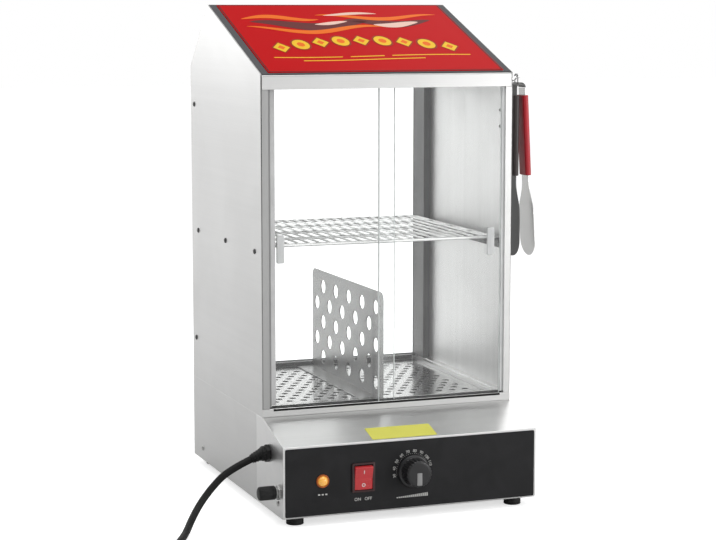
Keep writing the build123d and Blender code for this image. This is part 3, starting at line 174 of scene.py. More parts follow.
def brushed_effect():
    """Long fine scratches along the X axis of the vector that comes in, with broader bands behind them."""
    if "Brushed Lines" in bpy.data.node_groups:
        return bpy.data.node_groups["Brushed Lines"]
    outputs = [("Lines", "NodeSocketFloat"), ("Bands", "NodeSocketFloat")]
    group, enter, leave = effect("Brushed Lines", [("Vector", "NodeSocketVector", None)], outputs)
    place = enter.outputs["Vector"]
    fine = add_node(group, "ShaderNodeMapping", {"Vector": place, "Scale": (6.0, 1500.0, 1500.0)}).outputs[0]
    grain = {"Vector": fine, "Scale": 1.0, "Detail": 3.0, "Roughness": 0.65}
    lines = add_node(group, "ShaderNodeTexNoise", grain)
    wide = add_node(group, "ShaderNodeMapping", {"Vector": place, "Scale": (1.5, 90.0, 90.0)}).outputs[0]
    bands = add_node(group, "ShaderNodeTexNoise", {"Vector": wide, "Scale": 1.0, "Detail": 2.0})
    group.links.new(lines.outputs[0], leave.inputs["Lines"])
    group.links.new(bands.outputs[0], leave.inputs["Bands"])
    return group


def smudge_effect():
    """Soft patches, such as wiped cleaning marks and fingerprints, between 0 and 1."""
    if "Smudges" in bpy.data.node_groups:
        return bpy.data.node_groups["Smudges"]
    inputs = [("Vector", "NodeSocketVector", None), ("Size", "NodeSocketFloat", 0.06)]
    group, enter, leave = effect("Smudges", inputs, [("Mask", "NodeSocketFloat")])
    scale = maths(group, "DIVIDE", 1.0, enter.outputs["Size"])
    patches = add_node(
        group, "ShaderNodeTexNoise",
        {"Vector": enter.outputs["Vector"], "Scale": scale, "Detail": 4.0, "Distortion": 0.6},
    )
    soft = add_node(
        group, "ShaderNodeMapRange",
        {"Value": patches.outputs[0], "From Min": 0.35, "From Max": 0.7}, interpolation_type="SMOOTHSTEP",
    )
    group.links.new(soft.outputs[0], leave.inputs["Mask"])
    return group


def grain_effect():
    """Fine spark grain of moulded plastic and rubber, as a height."""
    if "Moulded Grain" in bpy.data.node_groups:
        return bpy.data.node_groups["Moulded Grain"]
    inputs = [("Vector", "NodeSocketVector", None), ("Scale", "NodeSocketFloat", 1800.0)]
    group, enter, leave = effect("Moulded Grain", inputs, [("Height", "NodeSocketFloat")])
    cells = add_node(
        group, "ShaderNodeTexNoise",
        {"Vector": enter.outputs["Vector"], "Scale": enter.outputs["Scale"], "Detail": 2.0, "Roughness": 0.6},
    )
    group.links.new(cells.outputs[0], leave.inputs["Height"])
    return group


def placed_effect(tree, group, inputs):
    """A node that runs a shared effect, with its inputs set or linked."""
    return add_node(tree, "ShaderNodeGroup", inputs, node_tree=group)


def blank_material(name):
    """A new material, its tree, its Principled shader and its Object coordinates."""
    material = bpy.data.materials.new(name)
    material.use_nodes = True
    tree = material.node_tree
    shader = tree.nodes["Principled BSDF"]
    place = tree.nodes.new("ShaderNodeTexCoord").outputs["Object"]
    place = add_node(tree, "ShaderNodeMapping", {"Vector": place, "Location": tuple(-CASE_MIDDLE)}).outputs[0]
    return material, tree, shader, place


def colour_between(tree, factor, first, second):
    """A colour between two others; each is a socket or plain channels."""
    mix = tree.nodes.new("ShaderNodeMix")
    mix.data_type = "RGBA"
    tree.links.new(factor, mix.inputs[0])
    for index, value in ((6, first), (7, second)):
        if isinstance(value, bpy.types.NodeSocket):
            tree.links.new(value, mix.inputs[index])
        else:
            mix.inputs[index].default_value = (*tuple(value)[:3], 1.0)
    return mix.outputs[2]


def ranged(tree, value, low, high):
    """The value, between 0 and 1, spread from low to high."""
    return add_node(tree, "ShaderNodeMapRange", {"Value": value, "To Min": low, "To Max": high}).outputs[0]


def bump(tree, height, strength, distance):
    """A surface normal that follows a height."""
    inputs = {"Height": height, "Strength": strength, "Distance": distance}
    return add_node(tree, "ShaderNodeBump", inputs).outputs[0]


@made_once
def brushed_metal(name, base, roughness, along="X", depth=1.0, metallic=1.0):
    """Sheet metal with grinding lines along one axis, wiped patches and a soft shine."""
    material, tree, shader, place = blank_material(name)
    turn = {"X": (0, 0, 0), "Y": (0, 0, math.pi / 2), "Z": (0, math.pi / 2, 0)}[along]
    turned = add_node(tree, "ShaderNodeMapping", {"Vector": place, "Rotation": turn}).outputs[0]
    brushed = placed_effect(tree, brushed_effect(), {"Vector": turned})
    smudges = placed_effect(tree, smudge_effect(), {"Vector": place, "Size": 0.09})
    lines = brushed.outputs["Lines"]
    share = 0.55 * depth  # part of the tone that the fine lines give; broad bands give the rest
    bands = maths(tree, "MULTIPLY", brushed.outputs["Bands"], 1.0 - share)
    tone = maths(tree, "ADD", maths(tree, "MULTIPLY", lines, share), bands)
    dark = tuple(channel * 0.86 for channel in base)
    light = tuple(min(channel * 1.08, 1.0) for channel in base)
    tree.links.new(colour_between(tree, tone, dark, light), shader.inputs["Base Color"])
    shader.inputs["Metallic"].default_value = metallic
    wiped = maths(tree, "MULTIPLY", smudges.outputs[0], 0.05)
    rough = maths(tree, "ADD", ranged(tree, tone, roughness - 0.07, roughness + 0.05), wiped)
    tree.links.new(rough, shader.inputs["Roughness"])
    if depth > 0:
        tree.links.new(bump(tree, lines, 0.12 * depth, 0.00012), shader.inputs["Normal"])
    return material


@made_once
def bare_metal(name, base, roughness, speckle=0.1):
    """Turned, drawn or plated metal with slight patches but no grinding lines."""
    material, tree, shader, place = blank_material(name)
    smudges = placed_effect(tree, smudge_effect(), {"Vector": place, "Size": 0.02})
    dark = tuple(channel * (1.0 - speckle) for channel in base)
    tree.links.new(colour_between(tree, smudges.outputs[0], base, dark), shader.inputs["Base Color"])
    shader.inputs["Metallic"].default_value = 1.0
    tree.links.new(ranged(tree, smudges.outputs[0], roughness, roughness + 0.08), shader.inputs["Roughness"])
    grain = placed_effect(tree, grain_effect(), {"Vector": place, "Scale": 2500.0})
    tree.links.new(bump(tree, grain.outputs[0], 0.05, 0.0001), shader.inputs["Normal"])
    return material


@made_once
def moulded(name, base, roughness, grain_scale=1800.0, grain=0.12, shift=0.12, specular=0.5):
    """Moulded plastic or rubber with spark grain and slightly uneven shine."""
    material, tree, shader, place = blank_material(name)
    smudges = placed_effect(tree, smudge_effect(), {"Vector": place, "Size": 0.03})
    pale = tuple(min(channel * (1.0 + shift) + 0.002, 1.0) for channel in base)
    tree.links.new(colour_between(tree, smudges.outputs[0], base, pale), shader.inputs["Base Color"])
    worn = ranged(tree, smudges.outputs[0], roughness, min(roughness + 0.1, 1.0))
    tree.links.new(worn, shader.inputs["Roughness"])
    shader.inputs["Specular IOR Level"].default_value = specular
    height = placed_effect(tree, grain_effect(), {"Vector": place, "Scale": grain_scale})
    tree.links.new(bump(tree, height.outputs[0], grain, 0.0001), shader.inputs["Normal"])
    return material


@made_once
def printed(name, base, roughness=0.45, specular=0.07):
    """Ink or film: almost even, with a faint mottle from the printing."""
    material, tree, shader, place = blank_material(name)
    dots = placed_effect(tree, grain_effect(), {"Vector": place, "Scale": 900.0})
    dark = tuple(channel * 0.9 for channel in base)
    tree.links.new(colour_between(tree, dots.outputs[0], dark, base), shader.inputs["Base Color"])
    mottled = ranged(tree, dots.outputs[0], roughness - 0.04, roughness + 0.04)
    tree.links.new(mottled, shader.inputs["Roughness"])
    shader.inputs["Specular IOR Level"].default_value = specular
    return material


@made_once
def clear_glass(name):
    """Clear float glass that lets the lamps' light through to what is behind it."""
    material, tree, shader, place = blank_material(name)
    shader.inputs["Base Color"].default_value = (0.99, 0.998, 0.995, 1.0)
    shader.inputs["Transmission Weight"].default_value = 1.0
    shader.inputs["IOR"].default_value = 1.45
    wiped = placed_effect(tree, smudge_effect(), {"Vector": place, "Size": 0.12})
    tree.links.new(ranged(tree, wiped.outputs[0], 0.0, 0.012), shader.inputs["Roughness"])
    path = tree.nodes.new("ShaderNodeLightPath")
    open_way = add_node(tree, "ShaderNodeBsdfTransparent", {"Color": (0.94, 0.94, 0.94, 1.0)})
    blend = tree.nodes.new("ShaderNodeMixShader")
    tree.links.new(path.outputs["Is Shadow Ray"], blend.inputs[0])
    tree.links.new(shader.outputs[0], blend.inputs[1])
    tree.links.new(open_way.outputs[0], blend.inputs[2])
    tree.links.new(blend.outputs[0], tree.nodes["Material Output"].inputs["Surface"])
    return material


def steel_sheet(along):
    """The sheet of the case, its grinding lines along an axis."""
    return brushed_metal(f"brushed steel {along}", tuple(colours().steel), 0.34, along)


def steel_parts():
    return bare_metal("pressed steel", (0.60, 0.60, 0.59), 0.3)


def screw_steel():
    return bare_metal("screw steel", (0.12, 0.12, 0.12), 0.38)


def black_plastic():
    return moulded("black plastic", tuple(colours().black_plastic), 0.42, 1800.0, 0.12, 0.12, 0.3)


# ---------------------------------------------------------------- shapes
def add_box(bm, low, high, soften):
    """A box between two corners, its edges cut back a little."""
    low, high = Vector(low), Vector(high)
    matrix = Matrix.LocRotScale((low + high) / 2, None, high - low)
    verts = bmesh.ops.create_cube(bm, size=1.0, matrix=matrix)["verts"]
    edges = list({edge for vert in verts for edge in vert.link_edges})
    bmesh.ops.bevel(bm, geom=edges, offset=soften, segments=1, profile=0.5, affect="EDGES", material=-1)


def turned_matrix(place, axis):
    """Puts the Z axis along an axis, at a place."""
    turn = Vector((0, 0, 1)).rotation_difference(Vector(axis)).to_matrix().to_4x4()
    return Matrix.Translation(Vector(place)) @ turn


def add_turned(bm, profile, place, axis, steps=40):
    """Turns (radius, height) pairs in mm round an axis that starts at a place; returns the new vertices."""
    before = set(bm.verts)
    matrix = turned_matrix(place, axis)
    verts = [bm.verts.new(matrix @ Vector((radius * MM, 0, height * MM))) for radius, height in profile]
    edges = [bm.edges.new(pair) for pair in zip(verts, verts[1:])]
    bmesh.ops.spin(
        bm, geom=verts + edges, cent=Vector(place), axis=Vector(axis).normalized(), angle=2 * math.pi,
        steps=steps, use_merge=True, use_duplicate=False,
    )
    made = [vert for vert in bm.verts if vert not in before]
    bmesh.ops.remove_doubles(bm, verts=made, dist=1e-7)
    return [vert for vert in bm.verts if vert not in before]


def add_prism(bm, outline, matrix, height, soften=0.0, segments=2):
    """A flat outline of (u, v) pairs, raised to a height along the matrix's Z axis, its rims rounded."""
    verts = [bm.verts.new(matrix @ Vector((u, v, 0))) for u, v in outline]
    face = bm.faces.new(verts)
    made = bmesh.ops.extrude_face_region(bm, geom=[face])["geom"]
    top = [item for item in made if isinstance(item, bmesh.types.BMVert)]
    bmesh.ops.translate(bm, verts=top, vec=matrix.to_3x3() @ Vector((0, 0, height)))
    if soften:
        rims = [edge for item in made if isinstance(item, bmesh.types.BMFace) for edge in item.edges]
        bmesh.ops.bevel(
            bm, geom=rims, offset=soften, segments=segments, profile=0.5, affect="EDGES", material=-1
        )


def cut_grip(verts, place, pitch, least, scale, past=0.0):
    """Draws every third corner in, round an X axis at a place, past a depth and outside a least radius."""
    for vert in verts:
        off = vert.co - place
        angle = math.atan2(off.z, off.y)
        if off.x < -past and off.yz.length > least and round(angle / pitch) % 3 == 0:
            vert.co.y, vert.co.z = place.y + off.y * scale, place.z + off.z * scale


def ring(count, radius, squash=1.0):
    """Points of an ellipse or a regular polygon."""
    step = 2 * math.pi / count
    return [(radius * math.cos(i * step), radius * squash * math.sin(i * step)) for i in range(count)]


def rounded_outline(width, height, radius, steps=5):
    """Points of a rectangle with round corners."""
    points = []
    for index, (sx, sy) in enumerate(((1, 1), (-1, 1), (-1, -1), (1, -1))):
        for i in range(steps + 1):
            angle = math.pi / 2 * (index + i / steps)
            u = sx * (width / 2 - radius) + radius * math.cos(angle)
            points.append((u, sy * (height / 2 - radius) + radius * math.sin(angle)))
    return points


def make_piece(bm, name, body, material, stands_for=(), smooth=32.0):
    """Closes, places and shades a finished bmesh, and lets the piece ride on its body."""
    bmesh.ops.translate(bm, vec=CASE_MIDDLE, verts=bm.verts)
    bmesh.ops.remove_doubles(bm, verts=bm.verts, dist=1e-6)
    bmesh.ops.recalc_face_normals(bm, faces=bm.faces)
    limit = math.radians(smooth)
    for face in bm.faces:
        face.smooth = face.calc_area() < WIDE_FACE
    for edge in bm.edges:
        edge.smooth = len(edge.link_faces) == 2 and edge.calc_face_angle(0.0) < limit
    mesh = bpy.data.meshes.new(name)
    bm.to_mesh(mesh)
    bm.free()
    mesh.materials.append(material)
    piece = bpy.data.objects.new(name, mesh)
    bpy.context.collection.objects.link(piece)
    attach(piece, body)
    if stands_for:
        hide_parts(*stands_for)
    return piece


def merged_copy(node):
    """A bmesh of a CAD node with its loose triangles merged into flat faces."""
    bm = bmesh.new()
    bm.from_mesh(frame["nodes"][node].data)
    bmesh.ops.translate(bm, vec=-CASE_MIDDLE, verts=bm.verts)
    bmesh.ops.remove_doubles(bm, verts=bm.verts, dist=2e-6)
    bmesh.ops.dissolve_limit(
        bm, angle_limit=math.radians(0.4), use_dissolve_boundaries=False, verts=bm.verts, edges=bm.edges
    )
    return bm


def round_edges(bm, width, segments, wanted=None):
    """Rounds the sharp outward edges that are wanted."""
    sharp = math.radians(40.0)
    chosen = [
        edge
        for edge in bm.edges
        if len(edge.link_faces) == 2
        and edge.calc_face_angle(0.0) > sharp
        and edge.is_convex
        and (wanted is None or wanted(edge))
    ]
    if chosen:
        bmesh.ops.bevel(
            bm, geom=chosen, offset=width, segments=segments, profile=0.5, affect="EDGES",
            material=-1, clamp_overlap=True,
        )


def between_sheets(edge):
    """Whether an edge joins two wide faces, so that it is a bend and not the cut edge of a sheet."""
    return min(face.calc_area() for face in edge.link_faces) > 5e-4


def dressed_node(node, material, edge, segments=1, fold=None):
    """A copy of a CAD node with rounded edges; fold picks the edges that are bends of the sheet."""
    bm = merged_copy(node)
    if fold is not None:
        round_edges(bm, sizes().fold_radius, 3, fold)
    round_edges(bm, edge, segments)
    return make_piece(bm, f"{node}_dressed", BODY_OF[node], material, (node,))


def finish_faces(piece, finishes, choose):
    """Gives a piece more finishes; choose says each face's slot, 0 for the piece's own finish."""
    for finish in finishes:
        piece.data.materials.append(finish)
    for face in piece.data.polygons:
        face.material_index = choose(face)


def dressed_pane(node, glass):
    """A copy of an upright pane whose cut edges are ground."""
    piece = make_piece(merged_copy(node), f"{node}_dressed", BODY_OF[node], glass, (node,))
    ground = moulded("ground edge", (0.78, 0.81, 0.80), 0.5, 2500.0, 0.05)
    finish_faces(piece, [ground], lambda face: int(abs(face.normal.y) < 0.9))


def paint_node(node, material):
    """Gives a CAD node that stays as it is its material."""
    slots = frame["nodes"][node].data.materials
    slots.clear()
    slots.append(material)


def facing_front(x, y, z):
    """Matrix of a drawing plane that faces the front: U to the right, V up."""
    return Matrix.Translation((x, y, z)) @ Matrix.Rotation(math.pi / 2, 4, "X")


# ---------------------------------------------------------------- operators
class SteamerOperator:
    """What every step shares: it runs from the sidebar and can be undone."""

    bl_options = {"REGISTER", "UNDO"}


class STEAMER_OT_stage(SteamerOperator, Operator):
    """Camera, floor, lamps and white surroundings"""

    bl_idname = "steamer.stage"
    bl_label = "Stage"

    focal_length, film_width = 100.51, 36.0  # of the photograph's camera, in mm
    camera_place = (-0.82802, -2.20193, 0.56835)
    camera_dip, camera_turn = math.radians(7.4762), math.radians(20.4188)  # below level, to the right
    lamps = (  # name, place, what it is aimed at, diameter, power
        ("lamp over the top", (0.0, -0.3, 2.3), (0.0, 0.0, 0.2), 1.8, 19.0),
        ("lamp behind at the right", (1.3, 1.1, 1.7), (0.1, -0.14, 0.1), 1.5, 5.0),
        ("lamp behind at the left", (-0.75, 1.15, 0.85), (-0.15, 0.0, 0.4), 0.9, 3.5),
        ("lamp at the front right", (1.45, -1.35, 0.55), (0.1, 0.0, 0.3), 1.1, 13.0),
        ("lamp at the left", (-1.6, -0.6, 1.6), (0.0, 0.0, 0.4), 0.9, 3.5),
    )
    ambient = 0.5  # light that the surroundings throw on everything
    behind_glass = 1.25  # their brightness seen through the panes
    mirrored = 0.85  # their brightness mirrored in the steel
    mirrored_dark = 0.05  # the same on the dark side
    dark_side = (-0.94, -0.35, 0.0)
    floor_seen, floor_behind_glass, floor_mirrored = 0.64, 0.9, 0.72  # the floor's own brightness
    floor_fade = (0.7, 2.6)  # distances between which its mirrored brightness rises

    def execute(self, context):
        scene = context.scene
        scene.view_settings.view_transform = "Standard"
        lens = bpy.data.cameras.new("camera")
        lens.lens = self.focal_length
        lens.sensor_width = self.film_width
        lens.clip_start, lens.clip_end = 0.05, 100.0
        camera = bpy.data.objects.new("camera", lens)
        camera.location = self.camera_place
        camera.rotation_euler = (math.pi / 2 - self.camera_dip, 0.0, -self.camera_turn)
        scene.collection.objects.link(camera)
        scene.camera = camera
        self.make_floor(scene)
        self.make_world(scene)
        for lamp in self.lamps:
            self.add_lamp(*lamp)
        return {"FINISHED"}

    def make_floor(self, scene):
        """A pale floor that is white to the camera and keeps the steamer's shadow."""
        bm = bmesh.new()
        bmesh.ops.create_grid(bm, x_segments=1, y_segments=1, size=12.0)
        mesh = bpy.data.meshes.new("floor")
        bm.to_mesh(mesh)
        bm.free()
        floor = bpy.data.objects.new("floor", mesh)
        scene.collection.objects.link(floor)
        material, tree, shader, place = blank_material("pale floor")
        shader.inputs["Base Color"].default_value = (0.8, 0.8, 0.8, 1.0)
        shader.inputs["Roughness"].default_value = 0.9
        shader.inputs["Specular IOR Level"].default_value = 0.1
        path = tree.nodes.new("ShaderNodeLightPath")
        straight = maths(tree, "MULTIPLY", path.outputs["Is Camera Ray"], self.floor_seen)
        through = maths(tree, "MULTIPLY", path.outputs["Is Transmission Ray"], self.floor_behind_glass)
        away = add_node(tree, "ShaderNodeVectorMath", {0: place}, operation="LENGTH").outputs["Value"]
        near, far = self.floor_fade
        fade = {"Value": away, "From Min": near, "From Max": far, "To Max": self.floor_mirrored}
        glow = add_node(tree, "ShaderNodeMapRange", fade).outputs[0]
        mirrored = maths(tree, "MULTIPLY", path.outputs["Is Glossy Ray"], glow)
        seen = maths(tree, "MAXIMUM", maths(tree, "MAXIMUM", straight, through), mirrored)
        shader.inputs["Emission Color"].default_value = (1.0, 1.0, 1.0, 1.0)
        tree.links.new(seen, shader.inputs["Emission Strength"])
        mesh.materials.append(material)

    def make_world(self, scene):
        """White surroundings with a dark side, which gives the steel something to mirror."""
        world = bpy.data.worlds.new("white surroundings")
        world.use_nodes = True
        scene.world = world
        tree = world.node_tree
        sky = tree.nodes["Background"]
        path = tree.nodes.new("ShaderNodeLightPath")
        around = tree.nodes.new("ShaderNodeTexCoord").outputs["Generated"]
        toward = add_node(
            tree, "ShaderNodeVectorMath", {0: around, 1: self.dark_side}, operation="DOT_PRODUCT"
        ).outputs["Value"]
        room = add_node(
            tree, "ShaderNodeMapRange",
            {
                "Value": toward, "From Min": 0.25, "From Max": 0.8,
                "To Min": self.mirrored, "To Max": self.mirrored_dark,
            },
            interpolation_type="SMOOTHSTEP",
        ).outputs[0]
        seen, behind = 1.0 - self.ambient, self.behind_glass - self.ambient
        straight = maths(tree, "MULTIPLY", path.outputs["Is Camera Ray"], seen)
        through = maths(tree, "MULTIPLY", path.outputs["Is Transmission Ray"], behind)
        room = maths(tree, "SUBTRACT", room, self.ambient)
        mirrored = maths(tree, "MULTIPLY", path.outputs["Is Glossy Ray"], room)
        extra = maths(tree, "ADD", maths(tree, "MAXIMUM", straight, through), mirrored)
        strength = maths(tree, "ADD", extra, self.ambient)
        sky.inputs["Color"].default_value = (1.0, 1.0, 1.0, 1.0)
        tree.links.new(strength, sky.inputs["Strength"])

    def add_lamp(self, name, place, aim, size, power):
        """A round lamp that is aimed at a place."""
        lamp = bpy.data.lights.new(name, "AREA")
        lamp.shape = "DISK"
        lamp.size = size
        lamp.energy = power
        holder = bpy.data.objects.new(name, lamp)
        holder.location = place
        holder.rotation_euler = (Vector(aim) - Vector(place)).to_track_quat("-Z", "Y").to_euler()
        bpy.context.scene.collection.objects.link(holder)


class STEAMER_OT_mains_lead(SteamerOperator, Operator):
    """Mains lead with its gland, coil, tie and plug"""

    bl_idname = "steamer.mains_lead"
    bl_label = "Mains lead"

    coil_centre = Vector((-0.2566, -0.32125, 0.0))
    layers = (0.0051, 0.0140)  # heights of the lead's middle in the coil's two layers
    radii = (0.0529, 0.04835, 0.0438, 0.03925, 0.0347)  # of the coil's half turns, from the outside inwards
    half_turn_steps = 9

    def route(self):
        """The lead's points from the gland to the coil, then the coil's half turns and its end."""
        low, high = self.layers
        points = [
            (-0.17298, -0.12825, 0.06976),
            (-0.19987, -0.12825, 0.05889),
            (-0.219, -0.1305, 0.0426),
            (-0.236, -0.138, 0.026),
            (-0.250, -0.153, 0.0125),
            (-0.262, -0.176, 0.0060),
            (-0.275, -0.202, 0.0051),
            (-0.290, -0.229, 0.0051),
            (-0.302, -0.257, 0.0051),
            (-0.3095, -0.28605, 0.0051),
        ]
        outer, innermost = self.radii[0], self.radii[-1]
        turns = [(radius, low, low) for radius in self.radii[:-1]] + [(innermost, low, high)]
        turns += [(radius, high, high) for radius in self.radii[-2:0:-1]]
        place = self.coil_centre + Vector((-outer, 0, low))
        points.append(tuple(place))
        side = -1.0
        for radius, first_z, last_z in turns:
            centre = place + Vector((-side * radius, 0, 0))
            for i in range(1, self.half_turn_steps + 1):
                share = i / self.half_turn_steps
                x = centre.x + side * radius * math.cos(math.pi * share)
                y = centre.y + side * radius * math.sin(math.pi * share)
                points.append((x, y, first_z + (last_z - first_z) * share))
            place = Vector(points[-1])
            side = -side
        for i in range(1, 5):
            angle = math.pi / 2 * i / 4
            x = place.x + outer - outer * math.cos(angle)
            points.append((x, place.y - outer * math.sin(angle), high))
        points.append((self.coil_centre.x + 0.036, self.coil_centre.y - outer, high))
        return points

    def execute(self, context):
        black = moulded("black rubber", tuple(colours().black_plastic), 0.55, 900.0, 0.15, 0.12, 0.25)
        route = self.route()
        points = [Vector(point) + CASE_MIDDLE for point in route]
        curve = bpy.data.curves.new("mains_lead", "CURVE")
        curve.dimensions = "3D"
        curve.bevel_depth = sizes().cord_radius
        curve.bevel_resolution = 5
        curve.use_fill_caps = True
        spline = curve.splines.new("NURBS")
        spline.points.add(len(points) - 1)
        for point, place in zip(spline.points, points):
            point.co = (*place, 1.0)
        spline.order_u = 3
        spline.use_endpoint_u = True
        spline.resolution_u = 8
        curve.materials.append(black)
        lead = bpy.data.objects.new("mains_lead", curve)
        context.collection.objects.link(lead)
        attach(lead, BODY_OF["power_cord"])
        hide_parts("power_cord", "cord_coil")
        plug = self.make_plug(route[-1], black)
        pins = dressed_node("plug_pins", bare_metal("plug brass", (0.66, 0.55, 0.30), 0.25), 0.0003, 2)
        tie = dressed_node("cord_tie", black_plastic(), 0.0003, 2)
        self.make_gland()
        return {"FINISHED"}

    def make_plug(self, end, black):
        """A moulded grounded plug: ribbed relief, round body, finger grooves and a flat face."""
        bm = bmesh.new()
        profile = [(0.0, 0.0), (5.2, 0.0)]
        for rib in range(5):
            start = 0.6 + rib * 3.4
            radius = 5.3 + 0.36 * rib
            profile += [
                (radius, start), (radius + 0.25, start + 0.4), (radius + 0.25, start + 1.7),
                (radius - 0.5, start + 2.1), (radius - 0.5, start + 3.0),
            ]
        profile += [(7.1, 17.6), (8.6, 18.4), (11.2, 19.3), (12.6, 21.5), (13.5, 25.5), (13.8, 29.0)]
        for groove in range(3):
            start = 31.0 + groove * 3.0
            profile += [(13.8, start), (13.1, start + 0.5), (13.1, start + 1.2), (13.8, start + 1.7)]
        profile += [(13.8, 41.0), (13.8, 50.0), (13.3, 51.4), (12.2, 52.0), (0.0, 52.0)]
        add_turned(bm, profile, end, (1, 0, 0), 48)
        return make_piece(bm, "plug_body", BODY_OF["mains_plug"], black, ("mains_plug",))

    def make_gland(self):
        """The gland: a hexagon nut, a domed nut with grip ribs and a ribbed tapered relief."""
        bm = bmesh.new()
        outward, inward = (-1, 0, 0), (1, 0, 0)
        add_prism(bm, ring(6, 0.01), turned_matrix(GLAND, outward), 0.005, 0.0005)
        dome = [(0.0, 4.8), (7.0, 4.8), (8.4, 4.8), (8.4, 8.2), (7.6, 9.4), (6.4, 10.0), (0.0, 10.0)]
        cut_grip(add_turned(bm, dome, GLAND, outward, 60), GLAND, math.pi / 30, 0.0078, 0.93)
        tail = [(0.0, -2.8), (7.2, -2.8), (7.2, 0.0)]
        for rib in range(4):
            start, radius = 1.2 + rib * 3.1, 6.9 - 0.42 * rib
            tail += [(radius, start), (radius, start + 1.5)]
            tail += [(radius - 0.7, start + 1.8), (radius - 0.7, start + 2.7)]
        tail += [(5.3, 13.4), (5.0, 14.0), (0.0, 14.0)]
        droop = (-math.cos(GLAND_DROOP), 0, -math.sin(GLAND_DROOP))
        add_turned(bm, tail, GLAND - Vector((0.0075, 0, 0)), droop, 40)
        add_prism(bm, ring(6, 0.0095), turned_matrix(GLAND + Vector((0.001, 0, 0)), inward), 0.004, 0.0004)
        add_turned(bm, [(0, 0), (6.0, 0), (6.0, 9.0), (5.2, 9.0), (0, 9.0)], GLAND, inward, 32)
        make_piece(bm, "gland_body", BODY_OF["cable_gland"], black_plastic(), ("cable_gland",))


class STEAMER_OT_base(SteamerOperator, Operator):
    """Steel base, deck, bottom plate and rubber feet"""

    bl_idname = "steamer.base"
    bl_label = "Base"

    def execute(self, context):
        steel = steel_sheet("Y")
        across = steel_sheet("X")

        def front_fold(edge):
            ends = edge.verts[0].co, edge.verts[1].co
            if abs(ends[0].x - ends[1].x) < 0.25 or not between_sheets(edge):
                return False
            return any(max(end.y for end in ends) < front + 4e-4 for front in (FRONT_Y, CASE_Y))

        cut = sizes().sheet_edge
        ledge = brushed_metal("ledge sheet", (0.71, 0.71, 0.705), 0.3, "X")
        dressed_node("base_shell", steel, cut)
        dressed_node("control_housing", ledge, cut, 1, front_fold)
        dressed_node("cabinet_deck", across, cut, 1, front_fold)
        paint_node("bottom_plate", brushed_metal("plain sheet", (0.52, 0.52, 0.51), 0.42, "X", 0.4))
        self.make_feet()
        paint_node("foot_screws", screw_steel())
        return {"FINISHED"}

    def make_feet(self):
        """Turned rubber feet with a groove round the foot and a hollow under the screw."""
        bm = bmesh.new()
        profile = [
            (2.1, 4.0), (5.0, 4.0), (5.0, 0.5), (5.6, 0.0), (9.2, 0.0), (9.9, 0.5), (9.95, 1.6), (9.5, 2.0),
            (9.5, 2.6), (9.85, 3.0), (9.7, 6.2), (9.5, 9.3), (9.0, 10.0), (2.1, 10.0), (2.1, 4.0),
        ]
        for side in (-1, 1):
            for y in (FRONT_Y + FOOT_INSET, REAR_Y - FOOT_INSET):
                add_turned(bm, profile, (side * (HALF - FOOT_INSET), y, 0), (0, 0, 1), 40)
        rubber = moulded("foot rubber", tuple(colours().black_plastic), 0.7, 700.0, 0.2)
        make_piece(bm, "feet", BODY_OF["rubber_feet"], rubber, ("rubber_feet",))


